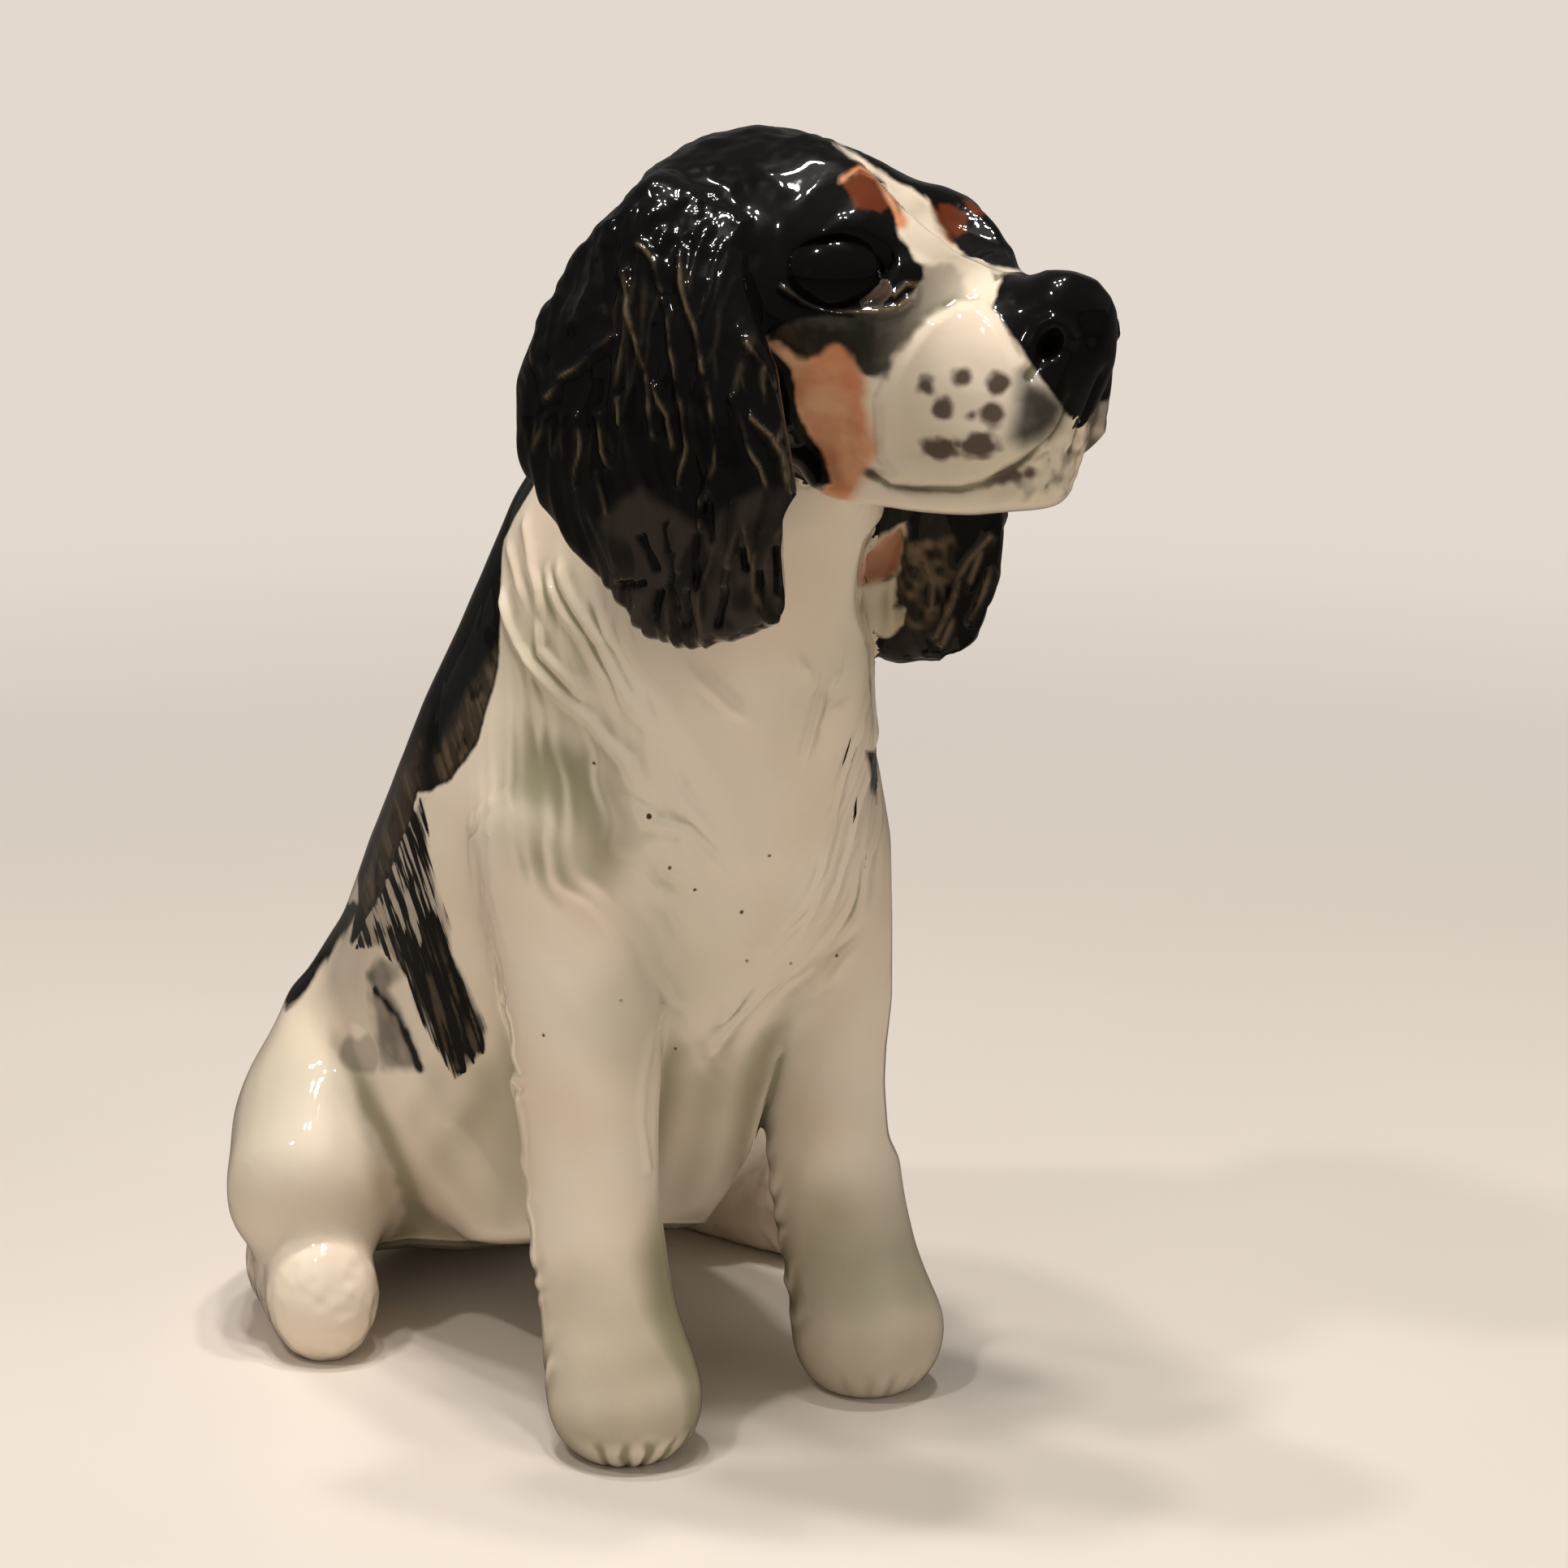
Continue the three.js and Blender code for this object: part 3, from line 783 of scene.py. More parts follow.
    # Places of the saddle's worn parts and of the flank's marks on the photograph's frame.
    faded: Lines = (
        (
            (621, 785), (626, 844), (602, 905), (568, 955), (541, 978), (536, 931), (560, 882), (589, 834),
        ),
        (
            (519, 911), (517, 979), (507, 1018), (483, 1076), (454, 1144), (440, 1090), (470, 1018),
            (490, 950),
        ),
    )
    flank: Line = (
        (519, 985), (528, 1053), (538, 1099), (551, 1130), (556, 1176), (571, 1206), (599, 1267),
        (594, 1295), (563, 1326), (548, 1303), (515, 1245), (505, 1205), (470, 1165), (440, 1165),
        (446, 1140), (470, 1088), (494, 1030),
    )
    flank_grey: Line = (
        (452, 1200), (470, 1178), (496, 1186), (498, 1205), (480, 1220), (500, 1262), (522, 1318),
        (470, 1318), (462, 1270),
    )
    # Painted shade on the chest, where the head and the right ear shade it.
    chest_shade: Line = (
        (650, 890), (725, 930), (770, 1040), (745, 1100), (690, 1110), (640, 1070), (636, 970),
    )
    # Grey wash on the edge of the back.
    back_grey: Line = (
        (440, 1110), (470, 1150), (452, 1210), (440, 1232), (410, 1224), (360, 1236), (340, 1230),
        (380, 1150),
    )
    flank_line: Line = ((451, 1206), (472, 1232), (489, 1252), (502, 1278), (517, 1318))
    flank_line_half: float = 0.22
    # How many of the flank's points make its crisp edge.
    flank_crisp: int = 8
    # Steps down the frame over which the flank's paint gets full, sparse, washed and worn.
    flank_full: Span = (1120, 1220)
    flank_sparse: Span = (1215, 1150)
    flank_wash: Span = (1130, 1220)
    flank_worn: Span = (1120, 1200)
    # Angles from the front over which the flank's line, its paint and its grey end.
    line_end: Span = (100, 118)
    flank_end: Span = (118, 126)
    smoke_end: Span = (124, 132)
    # How far the brush strokes lean.
    stroke_lean: float = 0.32
    # A grey blot on the thigh, and its radius in millimetres.
    blot: tuple[float, float] = (443.0, 1298.0)
    blot_radius: float = 1.5
    # Place and radius of the iron specks on the frame.
    specks: tuple[tuple[float, float, float], ...] = (
        (732, 940, 3.5), (800, 1006, 4.5), (825, 1069, 4), (856, 1097, 3), (914, 1124, 3), (948, 1054, 2.5),
        (920, 1184, 3), (765, 1233, 3), (670, 1276, 3), (832, 1292, 2.5), (1031, 1178, 3), (975, 1187, 3),
    )

    def settle(self, clay: Clay) -> None:
        """Fills the notch, lets the belly hang and trims the trunk to its edges.

        Args:
            clay: the surface to carve.
        """
        notch = np.linalg.norm(clay.points - np.array(self.notch), axis=1)
        clay.push(self.notch_fill * ridge(notch, self.notch_reach))
        left, back, level = clay.points.T
        sag = step(*self.sag_level, level) * step(*self.sag_right, left)
        sag = sag * step(*self.sag_left, left) * step(*self.sag_back, back)
        sag = sag * clay.soft_mask(12, Part.TRUNK)
        clay.points[:, 2] -= self.belly_sag * sag
        clay.calm(MIX * step(0, 0.2, sag), 24)
        lowest, highest = self.breast_level
        front = clay.is_part(Part.TRUNK, Part.LEFT_FORELEG) & (level > lowest)
        front &= (level < highest) & (back < self.breast_back)
        clay.trim(np.where(front)[0], self.breast, Way.LEFT, 24)
        high, deep, far = self.hem_reach
        low = clay.is_part(Part.TRUNK) & (level < high) & (back < deep) & (left < far)
        clay.trim(np.where(low)[0], self.hem, Way.UP, 16)
        clay.find_normals()

    def sculpt(self, clay: Clay) -> None:
        """Settles the trunk and raises the strands of hair on it.

        Args:
            clay: the surface to carve.
        """
        self.settle(clay)
        angle, height = clay.around()
        across = np.abs(angle) * GIRTH - self.comb_slope * height
        chest = clay.soft_mask(10, Part.TRUNK, *FORELEGS)
        lowest, highest = self.hair_level
        near = np.where((chest > FAINT) & (height > lowest) & (height < highest))[0]
        places = clay.points[near]
        raised = np.zeros(len(near))
        sway = np.stack([drift(places, 3.0, seed) for seed in (21, 22)], axis=1)
        for cord in self.cords:
            turn = np.abs(angle[near]) if cord.mirrored else angle[near]
            flat = np.stack((turn * GIRTH, height[near]), axis=1) + 0.25 * sway
            path = [(way * GIRTH, rise) for way, rise in cord.path]
            ends = [np.linalg.norm(flat - np.array(end), axis=1) for end in (path[0], path[-1])]
            fade = 0.15 + 0.85 * step(0, 2.6, np.minimum(*ends))
            swelling = 0.8 + 0.35 * sway[:, 0]
            profile = np.exp(-((to_path(flat, path) / cord.width) ** 1.4))
            raised = np.maximum(raised, cord.height * fade * swelling * profile)
        turn = np.abs(angle[near])
        fine, _ = self.fine_comb.ridges(across[near], places)
        fine = fine * (0.15 + 0.85 * step(100, 82, turn))
        fine = fine * (1.0 - 0.85 * step(60, 66, height[near]) * step(60, 40, turn))
        where = 0.15 + 0.85 * step(-0.2, 0.5, drift(places, 14.0, 5))
        lift = clay.over(near, raised + fine * where * step(lowest, 40.0, height[near]))
        clay.push(lift * chest * step(highest, 72.0, height))
        clay.marks["comb_across"] = across
        clay.marks["comb_along"] = height + 0.4 * np.abs(angle) * GIRTH

    def paint(self, clay: Clay) -> None:
        """Lays the saddle, the flank's marks, two loose strokes, the few brown specks, painted light on the
        hind feet, and the pooled glaze with painted shade.

        Args:
            clay: the surface to mark.
        """
        for mark in ("black", "tan", "spot", "speck"):
            clay.marks[mark] = np.full(len(clay.points), NO_MARK)
        for mark in ("dry", "smoke", "worn", "rust", "flesh"):
            clay.marks[mark] = np.zeros(len(clay.points))
        self.paint_side(clay)
        # Painted light: the hind feet are drawn near white, standing in for light from the left.
        clay.marks["pale"] = 0.85 * clay.soft_mask(6, *HIND_FEET)
        facing = np.where(clay.turned_to_sight(0.15))[0]
        seen = clay.on_frame(facing)
        speck = np.full(len(facing), NO_MARK)
        for right, down, radius in self.specks:
            speck = np.maximum(speck, 0.8 * radius - np.hypot(seen[:, 0] - right, seen[:, 1] - down))
        clay.marks["speck"][facing] = speck * SIGHT.stride + 0.08 * drift(clay.points[facing], 0.4, 36)
        left = clay.points[:, 0]
        chest = clay.is_part(Part.TRUNK) & (left > self.chest_from)
        back = clay.is_part(Part.TRUNK, Part.RIGHT_THIGH) & (left < self.chest_from)
        for part, outline in ((chest, self.far_mark), (back, self.back_line)):
            rows = np.where(part & clay.turned_to_sight(-0.5))[0]
            stroke = SIGHT.inside(clay.on_frame(rows), outline)
            clay.marks["black"][rows] = np.maximum(clay.marks["black"][rows], stroke)
        self.pool(clay)

    def paint_side(self, clay: Clay) -> None:
        """Lays the saddle with its worn parts, and the strokes and grey washes of the flank.

        Args:
            clay: the surface to mark.
        """
        rows = np.where(clay.is_part(Part.TRUNK, *THIGHS))[0]
        angle, height = clay.around()
        turn = np.abs(angle[rows])
        places = clay.points[rows]
        spots = clay.trunk_on_frame(rows)
        right, down = spots.T
        outline = [(way * GIRTH, level) for way, level in self.saddle]
        saddle = to_outline(turn * GIRTH, height[rows], outline)
        inside = SIGHT.inside(spots, self.flank)
        deep = 0.15 + 4.0 * step(*self.flank_full, down)
        flank = np.minimum(inside, deep) + NO_MARK * step(*self.flank_end, turn)
        flank = np.where(inside < -0.3, NO_MARK, flank)
        line = self.flank_line_half - SIGHT.beside(spots, self.flank_line)
        line = line + NO_MARK * step(*self.line_end, turn)
        clay.marks["black"][rows] = np.maximum.reduce((saddle, flank, line))
        lean = right - self.stroke_lean * down
        clay.marks["comb_across"][rows] = lean * SIGHT.stride
        clay.marks["comb_along"][rows] = down * SIGHT.stride
        sparse = 0.35 + 0.65 * step(*self.flank_sparse, down)
        crisp = 0.4 + 0.6 * step(0.1, 1.6, SIGHT.beside(spots, self.flank[: self.flank_crisp]))
        clay.marks["dry"][rows] = step(-0.8, 0.8, flank - saddle) * sparse * crisp
        hazy = 0.5 * drift(places, 2.0, 39) + 0.3 * drift(places, 0.9, 40)
        wash = 0.5 + 0.25 * step(*self.flank_wash, down) + 0.2 * hazy
        blot = self.blot_radius - np.hypot(right - self.blot[0], down - self.blot[1]) * SIGHT.stride
        greys = (
            (0.7 + 0.3 * hazy) * step(-0.5, 0.5, SIGHT.inside(spots, self.flank_grey) + 0.5 * hazy),
            0.12 * step(-1.2, 1.2, SIGHT.inside(spots, self.back_grey)),
            wash * step(-0.3, 0.3, inside),
            0.5 * step(-0.3, 0.3, blot + 0.5 * drift(places, 2.0, 35)),
        )
        clay.marks["smoke"][rows] = np.maximum.reduce(greys) * (1.0 - step(*self.smoke_end, turn))
        along = np.stack((lean, 0.08 * down, np.zeros(len(rows))), axis=1)
        streaks = 0.4 + 0.6 * step(-0.3, 0.6, drift(along, 4.0, 37) + 0.6 * drift(along, 2.0, 38))
        faded = np.max([step(-0.6, 0.8, SIGHT.inside(spots, edge)) for edge in self.faded], axis=0)
        faded = faded * step(0, 0.5, saddle)
        lower = step(*self.flank_worn, down) * step(0.1, 0.5, flank)
        lower = lower * step(0, 0.5, drift(along, 3.0, 42))
        clay.marks["worn"][rows] = np.maximum(0.62 * streaks * faded, 0.4 * lower)
        gap = (clay.points[:, 0] > 6.0) & (clay.points[:, 2] < 30.0) & clay.turned_to_sight(-0.1)
        for mark, none in (("black", NO_MARK), ("smoke", 0.0)):
            clay.marks[mark] = np.where(gap, none, clay.marks[mark])

    def pool(self, clay: Clay) -> None:
        """Darkens the glaze towards the paws, on the chest and on the belly: glaze pooled low on the legs,
        and painted shade under the head, on the belly and on the legs' shaded inner sides.

        Args:
            clay: the surface to mark.
        """
        left, _, height = clay.points.T
        # Olive towards the paws, stronger on the inner sides: pooled glaze, and painted shade where the
        # head and chest shade the legs.
        legs = clay.soft_mask(20, *FORELEGS)
        inner = 0.25 + 0.75 * step(-15.5, -10.5, left)
        uneven = height + 4.0 * drift(clay.points, 7.0, 43)
        low = np.maximum(0.8 * step(22, 2, uneven), inner * step(30, 8, uneven)) * legs
        low = low * np.where(left < 0.0, 1.15, 0.75)
        # Painted shade on the chest under the head.
        rows = np.where(clay.turned_to_sight(0.0))[0]
        under = clay.over(rows, step(-2.5, 2, SIGHT.inside(clay.on_frame(rows), self.chest_shade)))
        under *= clay.soft_mask(12, Part.TRUNK, Part.RIGHT_FORELEG)
        # Painted shade on the forward faces of the belly, low between the legs.
        belly = step(34, 24, height) * step(0.2, -0.4, clay.normals[:, 1])
        belly = belly * clay.soft_mask(20, Part.TRUNK)
        # Painted light: the hind feet keep little of the darkening, so they stay pale.
        hind = clay.soft_mask(6, *HIND_FEET)
        clay.marks["hollow"] *= 1.0 - 0.7 * hind
        clay.marks["hollow"] += 0.17 * low + 0.12 * under + 0.1 * belly


@dataclass
class Legs:
    """The forelegs with their feathering, the toes, the hind feet and the tail."""

    feather: Comb = Comb(2.6, 0.42, 0.7, 1.1, 4.0, 4.0, 47)
    tail_comb: Comb = Comb(1.6, 0.35, 0.45, 0.6, 4.0, 5.0, 61)
    # Left and back of the middle of each forepaw, and how deep its toes are cut.
    paws: tuple[tuple[float, float, float], ...] = ((-13.2, 0.0, 0.17), (10.2, 0.0, 0.04))
    toe_turns: tuple[float, ...] = (-58.0, -36.0, -17.0, 3.0, 25.0, 52.0)
    toe_width: float = 0.45
    toe_top: tuple[float, float] = (3.4, 1.8)
    paw_radius: float = 5.8
    # The raised seam along the inner edge of the right foreleg, on the photograph's frame.
    seam: Line = ((814, 1245), (801, 1290), (792, 1340), (790, 1380), (798, 1440))
    seam_height: float = 0.22
    seam_width: float = 0.3

    def sculpt(self, clay: Clay) -> None:
        """Roughens the backs of the forelegs, cuts the toes, raises the seam and combs the tail.

        Args:
            clay: the surface to carve.
        """
        lift = np.zeros(len(clay.points))
        fore = clay.soft_mask(8, *FORELEGS)
        rows = np.where(fore > FAINT)[0]
        places = clay.points[rows]
        height = places[:, 2]
        rear = step(-0.1, 0.6, clay.normals[rows, 1]) * step(4, 8, height)
        ridges, _ = self.feather.ridges(height * 0.8 + places[:, 1] * 0.6, places)
        lift[rows] = (ridges - 0.1) * fore[rows] * rear
        for left, back, depth in self.paws:
            turn = np.degrees(np.arctan2(places[:, 0] - left, back - places[:, 1]))
            reach = np.hypot(places[:, 0] - left, places[:, 1] - back)
            here = step(9, 8, reach) * step(*self.toe_top, height)
            for index, groove in enumerate(self.toe_turns):
                gap = np.radians(turn - groove) * self.paw_radius + 0.3 * drift(places, 1.2, 49)
                cut = depth * (0.6 + 0.25 * (index % 3))
                lift[rows] -= cut * here * ridge(gap, self.toe_width)
            lift[rows] += 0.4 * depth * here * step(100, 70, np.abs(turn))
        right = np.where(clay.is_part(Part.RIGHT_FORELEG) & clay.turned_to_sight(-0.2))[0]
        gap = SIGHT.beside(clay.on_frame(right), self.seam)
        lift[right] += self.seam_height * ridge(gap, self.seam_width)
        hind = clay.soft_mask(6, *HIND_FEET)
        rows = np.where(hind > FAINT)[0]
        places = clay.points[rows]
        front = 0.35 + 0.65 * step(30, 26, places[:, 1])
        rough = 0.16 * drift(places, 1.8, 71) + 0.1 * drift(places, 0.8, 72)
        lift[rows] += rough * hind[rows] * front
        tail = clay.soft_mask(6, Part.TAIL)
        rows = np.where(tail > FAINT)[0]
        places = clay.points[rows]
        combed, _ = self.tail_comb.ridges(places[:, 2] + 0.4 * places[:, 0], places)
        lift[rows] += combed * tail[rows]
        clay.push(lift)


@dataclass
class Face:
    """The skull, muzzle, jaw and nose with brows, eye rims and lips, and all that is painted on them.

    Outlines and lines are places on the photograph's frame, for the right half of the head.
    """

    eye_centre: tuple[float, float, float] = (6.15, -5.4, 5.6)
    eye_turn: float = math.radians(52.0)
    eye_half: tuple[float, float] = (3.15, 2.5)
    # How far the eye lies from its solid's centre towards the nose and up.
    eye_shift: tuple[float, float] = (-1.0, -0.85)
    # Depth of the socket's floor from the eye's centre, and its rise towards the nose and upward.
    eye_bed: float = 3.2
    eye_tilt: tuple[float, float] = (0.22, -0.18)
    # How far down and forward the opening goes before the flesh of the inner corner.
    corner_edge: float = 2.45
    # Rims of the eye, across towards the nose and up from its middle.
    lower_rim: Line = (
        (-4.7, -2.1), (-3.4, -2.9), (-1.7, -3.35), (0.3, -3.45), (1.9, -3.3), (3.2, -2.9), (3.9, -2.3),
    )
    fold: Line = ((2.9, -2.1), (3.7, -1.3), (4.6, -1.3), (4.4, -2.4))
    # Flesh of the inner corner.
    corner: Line = ((2.1, -1.7), (1.3, -2.6))
    upper_rim: Line = (
        (-4.7, -1.3), (-3.8, 0.6), (-2.4, 1.9), (-0.4, 2.3), (1.6, 1.5), (3.2, 0.1), (4.6, -0.3),
    )
    # Height of the bridge of the nose over its way forward, in the head's frame.
    bridge_back: tuple[float, ...] = (-17.0, -15.5, -14.0, -12.0, -10.0, -8.0, -6.0)
    bridge_top: tuple[float, ...] = (4.6, 4.8, 5.2, 5.7, 6.4, 7.4, 8.8)
    lip: Line = (
        (1054, 572), (1072, 584), (1097, 599), (1126, 603), (1184, 603), (1214, 597), (1235, 584),
        (1257, 570), (1293, 541), (1308, 515), (1315, 494),
    )
    # Half the width of the mouth line in millimetres.
    lip_width: float = 0.34
    black_edge: Line = (
        (900, 424), (941, 415), (965, 402), (985, 394), (1010, 391), (1045, 392), (1080, 387), (1106, 377),
        (1123, 362), (1141, 342), (1138, 327), (1126, 321), (1119, 310), (1108, 292), (1100, 262),
        (1086, 226), (1060, 206), (1054, 199), (1028, 177), (1020, 130), (700, 130), (700, 424),
    )
    # Edge of the black on the left half, as it shows beyond the blaze.
    far_black: Line = (
        (1030, 177), (1068, 197), (1104, 217), (1133, 235), (1159, 264), (1170, 286), (1181, 308),
        (1199, 322), (1246, 331), (1330, 331), (1330, 130), (1030, 130),
    )
    smoke_edge: Line = (
        (941, 424), (970, 428), (995, 443), (1010, 437), (1032, 428), (1046, 443), (1061, 461), (1075, 468),
        (1090, 461), (1101, 443), (1112, 424), (1133, 399), (1159, 381), (1177, 374), (1188, 352),
        (1194, 334), (1152, 326), (1120, 318), (945, 318),
    )
    cheek: Line = (
        (930, 390), (1000, 400), (1040, 405), (1058, 436), (1066, 464), (1068, 494), (1072, 523),
        (1083, 548), (1075, 577), (1054, 606), (1032, 624), (1006, 617), (985, 600), (960, 520),
    )
    ear_blot: Line = (
        (930, 418), (941, 421), (960, 440), (974, 457), (979, 480), (982, 505), (995, 535), (1010, 552),
        (1020, 566), (1025, 596), (1008, 603), (985, 606), (960, 612), (890, 612), (890, 410),
    )
    rust: Line = ((1041, 228), (1058, 208), (1084, 218), (1099, 250), (1086, 265), (1054, 256))
    rust_edge: Line = ((1038, 221), (1059, 206), (1083, 218), (1100, 252), (1108, 272))
    rust_edge_half: float = 0.3
    far_rust: Lines = (
        ((1156, 252), (1170, 250), (1192, 262), (1193, 288), (1177, 292), (1163, 272)),
        ((1186, 246), (1204, 247), (1216, 260), (1210, 268), (1194, 262)),
    )
    nose_edge: Line = (
        (1239, 330), (1223, 381), (1235, 399), (1250, 417), (1264, 439), (1275, 457), (1297, 483),
        (1313, 508), (1322, 515), (1335, 500), (1420, 480), (1420, 320),
    )
    # Painted shade under the nose, on the front of the muzzle.
    muzzle_shade: Line = (
        (1262, 466), (1290, 480), (1312, 500), (1302, 524), (1285, 538), (1262, 547), (1249, 538),
        (1254, 500),
    )
    # The round pad of the upper lip.
    pad: Line = (
        (1101, 446), (1119, 417), (1141, 392), (1177, 371), (1213, 372), (1235, 399), (1261, 450),
        (1260, 493), (1283, 541), (1243, 577), (1177, 601), (1104, 595), (1083, 559), (1078, 493),
    )
    chin: Line = ((1235, 590), (1275, 560), (1306, 530), (1360, 520), (1360, 590), (1310, 612), (1262, 620))
    # Place, half width and half height of the spots.
    spots: tuple[tuple[float, float, float, float], ...] = (
        (1141, 475, 12, 12), (1185, 464, 13, 11), (1230, 472, 15, 12), (1158, 504, 12, 13),
        (1223, 513, 18, 14), (1197, 512, 7, 6), (1159, 552, 22, 15), (1179, 548, 9, 6), (1206, 548, 24, 16),
        (1243, 584, 16, 11), (1268, 584, 6, 6), (1072, 583, 12, 7),
    )
    far_spots: tuple[tuple[float, float, float, float], ...] = ((1345, 510, 9, 16), (1345, 549, 8, 15))
    # The nostril and the slit that runs down from it.
    nostril: tuple[float, float] = (1297, 425)
    slit: Line = ((1282, 446), (1270, 462))
    # Where the solid has its nostril, and over how many steps round it that is smoothed away.
    solid_nostril: tuple[float, float] = (1336.0, 415.0)
    nostril_fade: Span = (40, 24)
    # Steps to the right over which the mouth line starts and ends.
    mouth_start: Span = (1040, 1075)
    mouth_end: Span = (1325, 1300)
    # How dense the smoke of the cheek is over steps to the right.
    smoke_run: tuple[float, ...] = (960.0, 1075.0, 1110.0, 1140.0, 1195.0)
    smoke_depth: tuple[float, ...] = (1.0, 0.99, 0.85, 0.6, 0.25)
    # In the head's frame, how far back nose and muzzle's front reach, and where blot and brow start.
    nose_end: float = -15.0
    front_end: float = -14.0
    blot_start: float = -9.0
    brow_start: float = 5.0
    # How far left of the middle the two brows meet.
    brow_middle: float = 0.5
    nose_top: Line = (
        (1222, 352), (1241, 336), (1280, 332), (1323, 336), (1352, 347), (1370, 366), (1380, 394),
        (1386, 430),
    )
    # Rim over the nostril, and the blaze between the two black halves of the brow.
    wing: Line = ((1268, 426), (1282, 402), (1297, 395), (1312, 403), (1320, 418))
    blaze: Line = (
        (1026, 172), (1030, 180), (1054, 199), (1064, 208), (1088, 226), (1102, 262), (1109, 290),
        (1119, 309), (1150, 325), (1199, 322), (1181, 308), (1170, 286), (1159, 264), (1133, 237),
        (1104, 219), (1068, 199), (1036, 176),
    )
    # Place, height and reach of the swellings that round the root of the right ear.
    ear_root: tuple[tuple[tuple[float, float, float], float, float], ...] = (
        ((-12.4, -1.8, 95.6), 2.2, 4.2),
        ((-16.8, 0, 91.2), -0.5, 3),
        ((-19.8, 1, 79.5), 0.9, 5),
    )
    crown: Line = (
        (700, 323), (740, 275), (773, 246), (800, 210), (860, 172), (930, 155), (990, 163), (1028, 176),
        (1068, 193), (1104, 213), (1138, 232), (1168, 236), (1200, 245), (1228, 276), (1246, 327),
        (1252, 350),
    )

    def eye_axes(self, hand: float) -> tuple[Array, Array]:
        """The ways outward and towards the nose from the eye on one hand, in the head's frame."""
        sine, cosine = math.sin(self.eye_turn), math.cos(self.eye_turn)
        return np.array((hand * sine, -cosine, 0.0)), np.array((-hand * cosine, -sine, 0.0))

    def settle(self, clay: Clay, rows: Array) -> None:
        """Lowers the bridge, rounds the ear's root, trims the edges and smooths the crown.

        Args:
            clay: the surface to carve.
            rows: the points of the head.
        """
        places = clay.head_points()[rows]
        side, back, up = np.abs(places[:, 0]), places[:, 1], places[:, 2]
        moves = np.zeros((len(clay.points), 3))
        over = np.maximum(up - np.interp(back, self.bridge_back, self.bridge_top) - 0.25 * side, 0.0)
        low = step(-6, -9, back) * step(-16.5, -15, back) * step(5.2, 3.6, side)
        moves[rows, 2] = -0.85 * over * low
        clay.move_in_head(moves)
        for place, height, reach in self.ear_root:
            gap = np.linalg.norm(clay.points - np.array(place), axis=1)
            clay.push(height * ridge(gap, reach))
        clay.trim(np.where(clay.is_part(Part.SKULL, Part.RIGHT_EAR))[0], self.crown, Way.DOWN, 6)
        clay.trim(np.where(clay.is_part(Part.NOSE, Part.MUZZLE))[0], self.nose_top, Way.DOWN, 6)
        gap = np.linalg.norm(clay.head_on_frame(rows, True) - np.array(self.solid_nostril), axis=1)
        old = clay.is_part(Part.NOSE)[rows] * step(*self.nostril_fade, gap)
        crease = step(2.4, 1.2, side) * step(-16, -13.5, back) * step(1, -2, back)
        crease = crease * step(3.5, 5, up)
        clay.calm(MIX * clay.over(rows, np.maximum(old, crease)), 40)
        top = clay.soft_mask(6, Part.SKULL, *EARS)
        clay.calm(MIX * top * step(7, 10, clay.head_points()[:, 2]), 40)
        clay.find_normals()

    def sculpt(self, clay: Clay) -> None:
        """Settles the head, raises brows and lips, cuts the mouth and the nostrils and beds the eyes.

        Args:
            clay: the surface to carve.
        """
        head = clay.soft_mask(6, *HEAD)
        rows = np.where(head > FAINT)[0]
        pressed = clay.head_points()[rows]
        side, back, up = np.abs(pressed[:, 0]), pressed[:, 1], pressed[:, 2]
        self.settle(clay, rows)
        places = clay.head_points()[rows]
        spots = clay.head_on_frame(rows, True)
        right, down = spots.T
        brow = np.stack((side - 5.6, back + 6.4, up - 10.2), axis=1)
        lift = 0.45 * ridge(np.linalg.norm(brow, axis=1), 2.2)
        run, level = zip(*sorted(self.lip))
        above = (np.interp(right, run, level) - down) * SIGHT.stride
        mouth = step(-5, -7.5, back) * step(*self.mouth_start, right) * step(*self.mouth_end, right)
        wave = 0.75 + 0.5 * drift(places, 2.0, 55)
        lift = lift - 0.42 * mouth * wave * ridge(SIGHT.beside(spots, self.lip), self.lip_width)
        lift = lift + 0.5 * mouth * step(0, 0.9, above) * step(6.5, 1.8, above)
        lift = lift - 0.2 * mouth * step(0, -0.5, above) * step(-2.4, -0.8, above)
        lift = lift + 0.5 * step(-0.3, 1.1, SIGHT.inside(spots, self.pad)) * (back < -3.0)
        split = step(-19, -20.5, back) * step(-8, -6, up) * step(-0.5, -2.5, up)
        lift = lift - 0.5 * split * ridge(side, 0.4)
        lumpy = step(-0.4, 0.6, SIGHT.inside(spots, self.chin))
        lift = lift + lumpy * (0.2 * drift(places, 1.1, 57) + 0.12 * drift(places, 0.6, 58))
        hole = np.hypot((right - self.nostril[0]) * 1.1, down - self.nostril[1]) * SIGHT.stride
        slit = SIGHT.beside(spots, (self.nostril, *self.slit))
        tip = back < self.nose_end
        lift = lift - 1.1 * ridge(hole, 0.9) - 0.5 * ridge(slit, 0.6) * tip
        lift = lift + 0.4 * ridge(SIGHT.beside(spots, self.wing), 0.5) * tip
        hair = SIGHT.patch(spots, self.ear_blot, back > self.blot_start)
        lift = lift + step(-0.2, 0.5, hair) * (0.35 + 0.2 * drift(places, 1.4, 60))
        lift = lift + (0.17 * drift(places, 2.1, 61) + 0.1 * drift(places, 0.9, 62)) * step(6, 8.5, up)
        lift = lift + clay.soft_mask(5, Part.NOSE)[rows] * (0.12 * drift(places, 1.8, 59))
        clay.push(clay.over(rows, lift) * head)
        clay.find_normals()
        self.bed_eyes(clay)

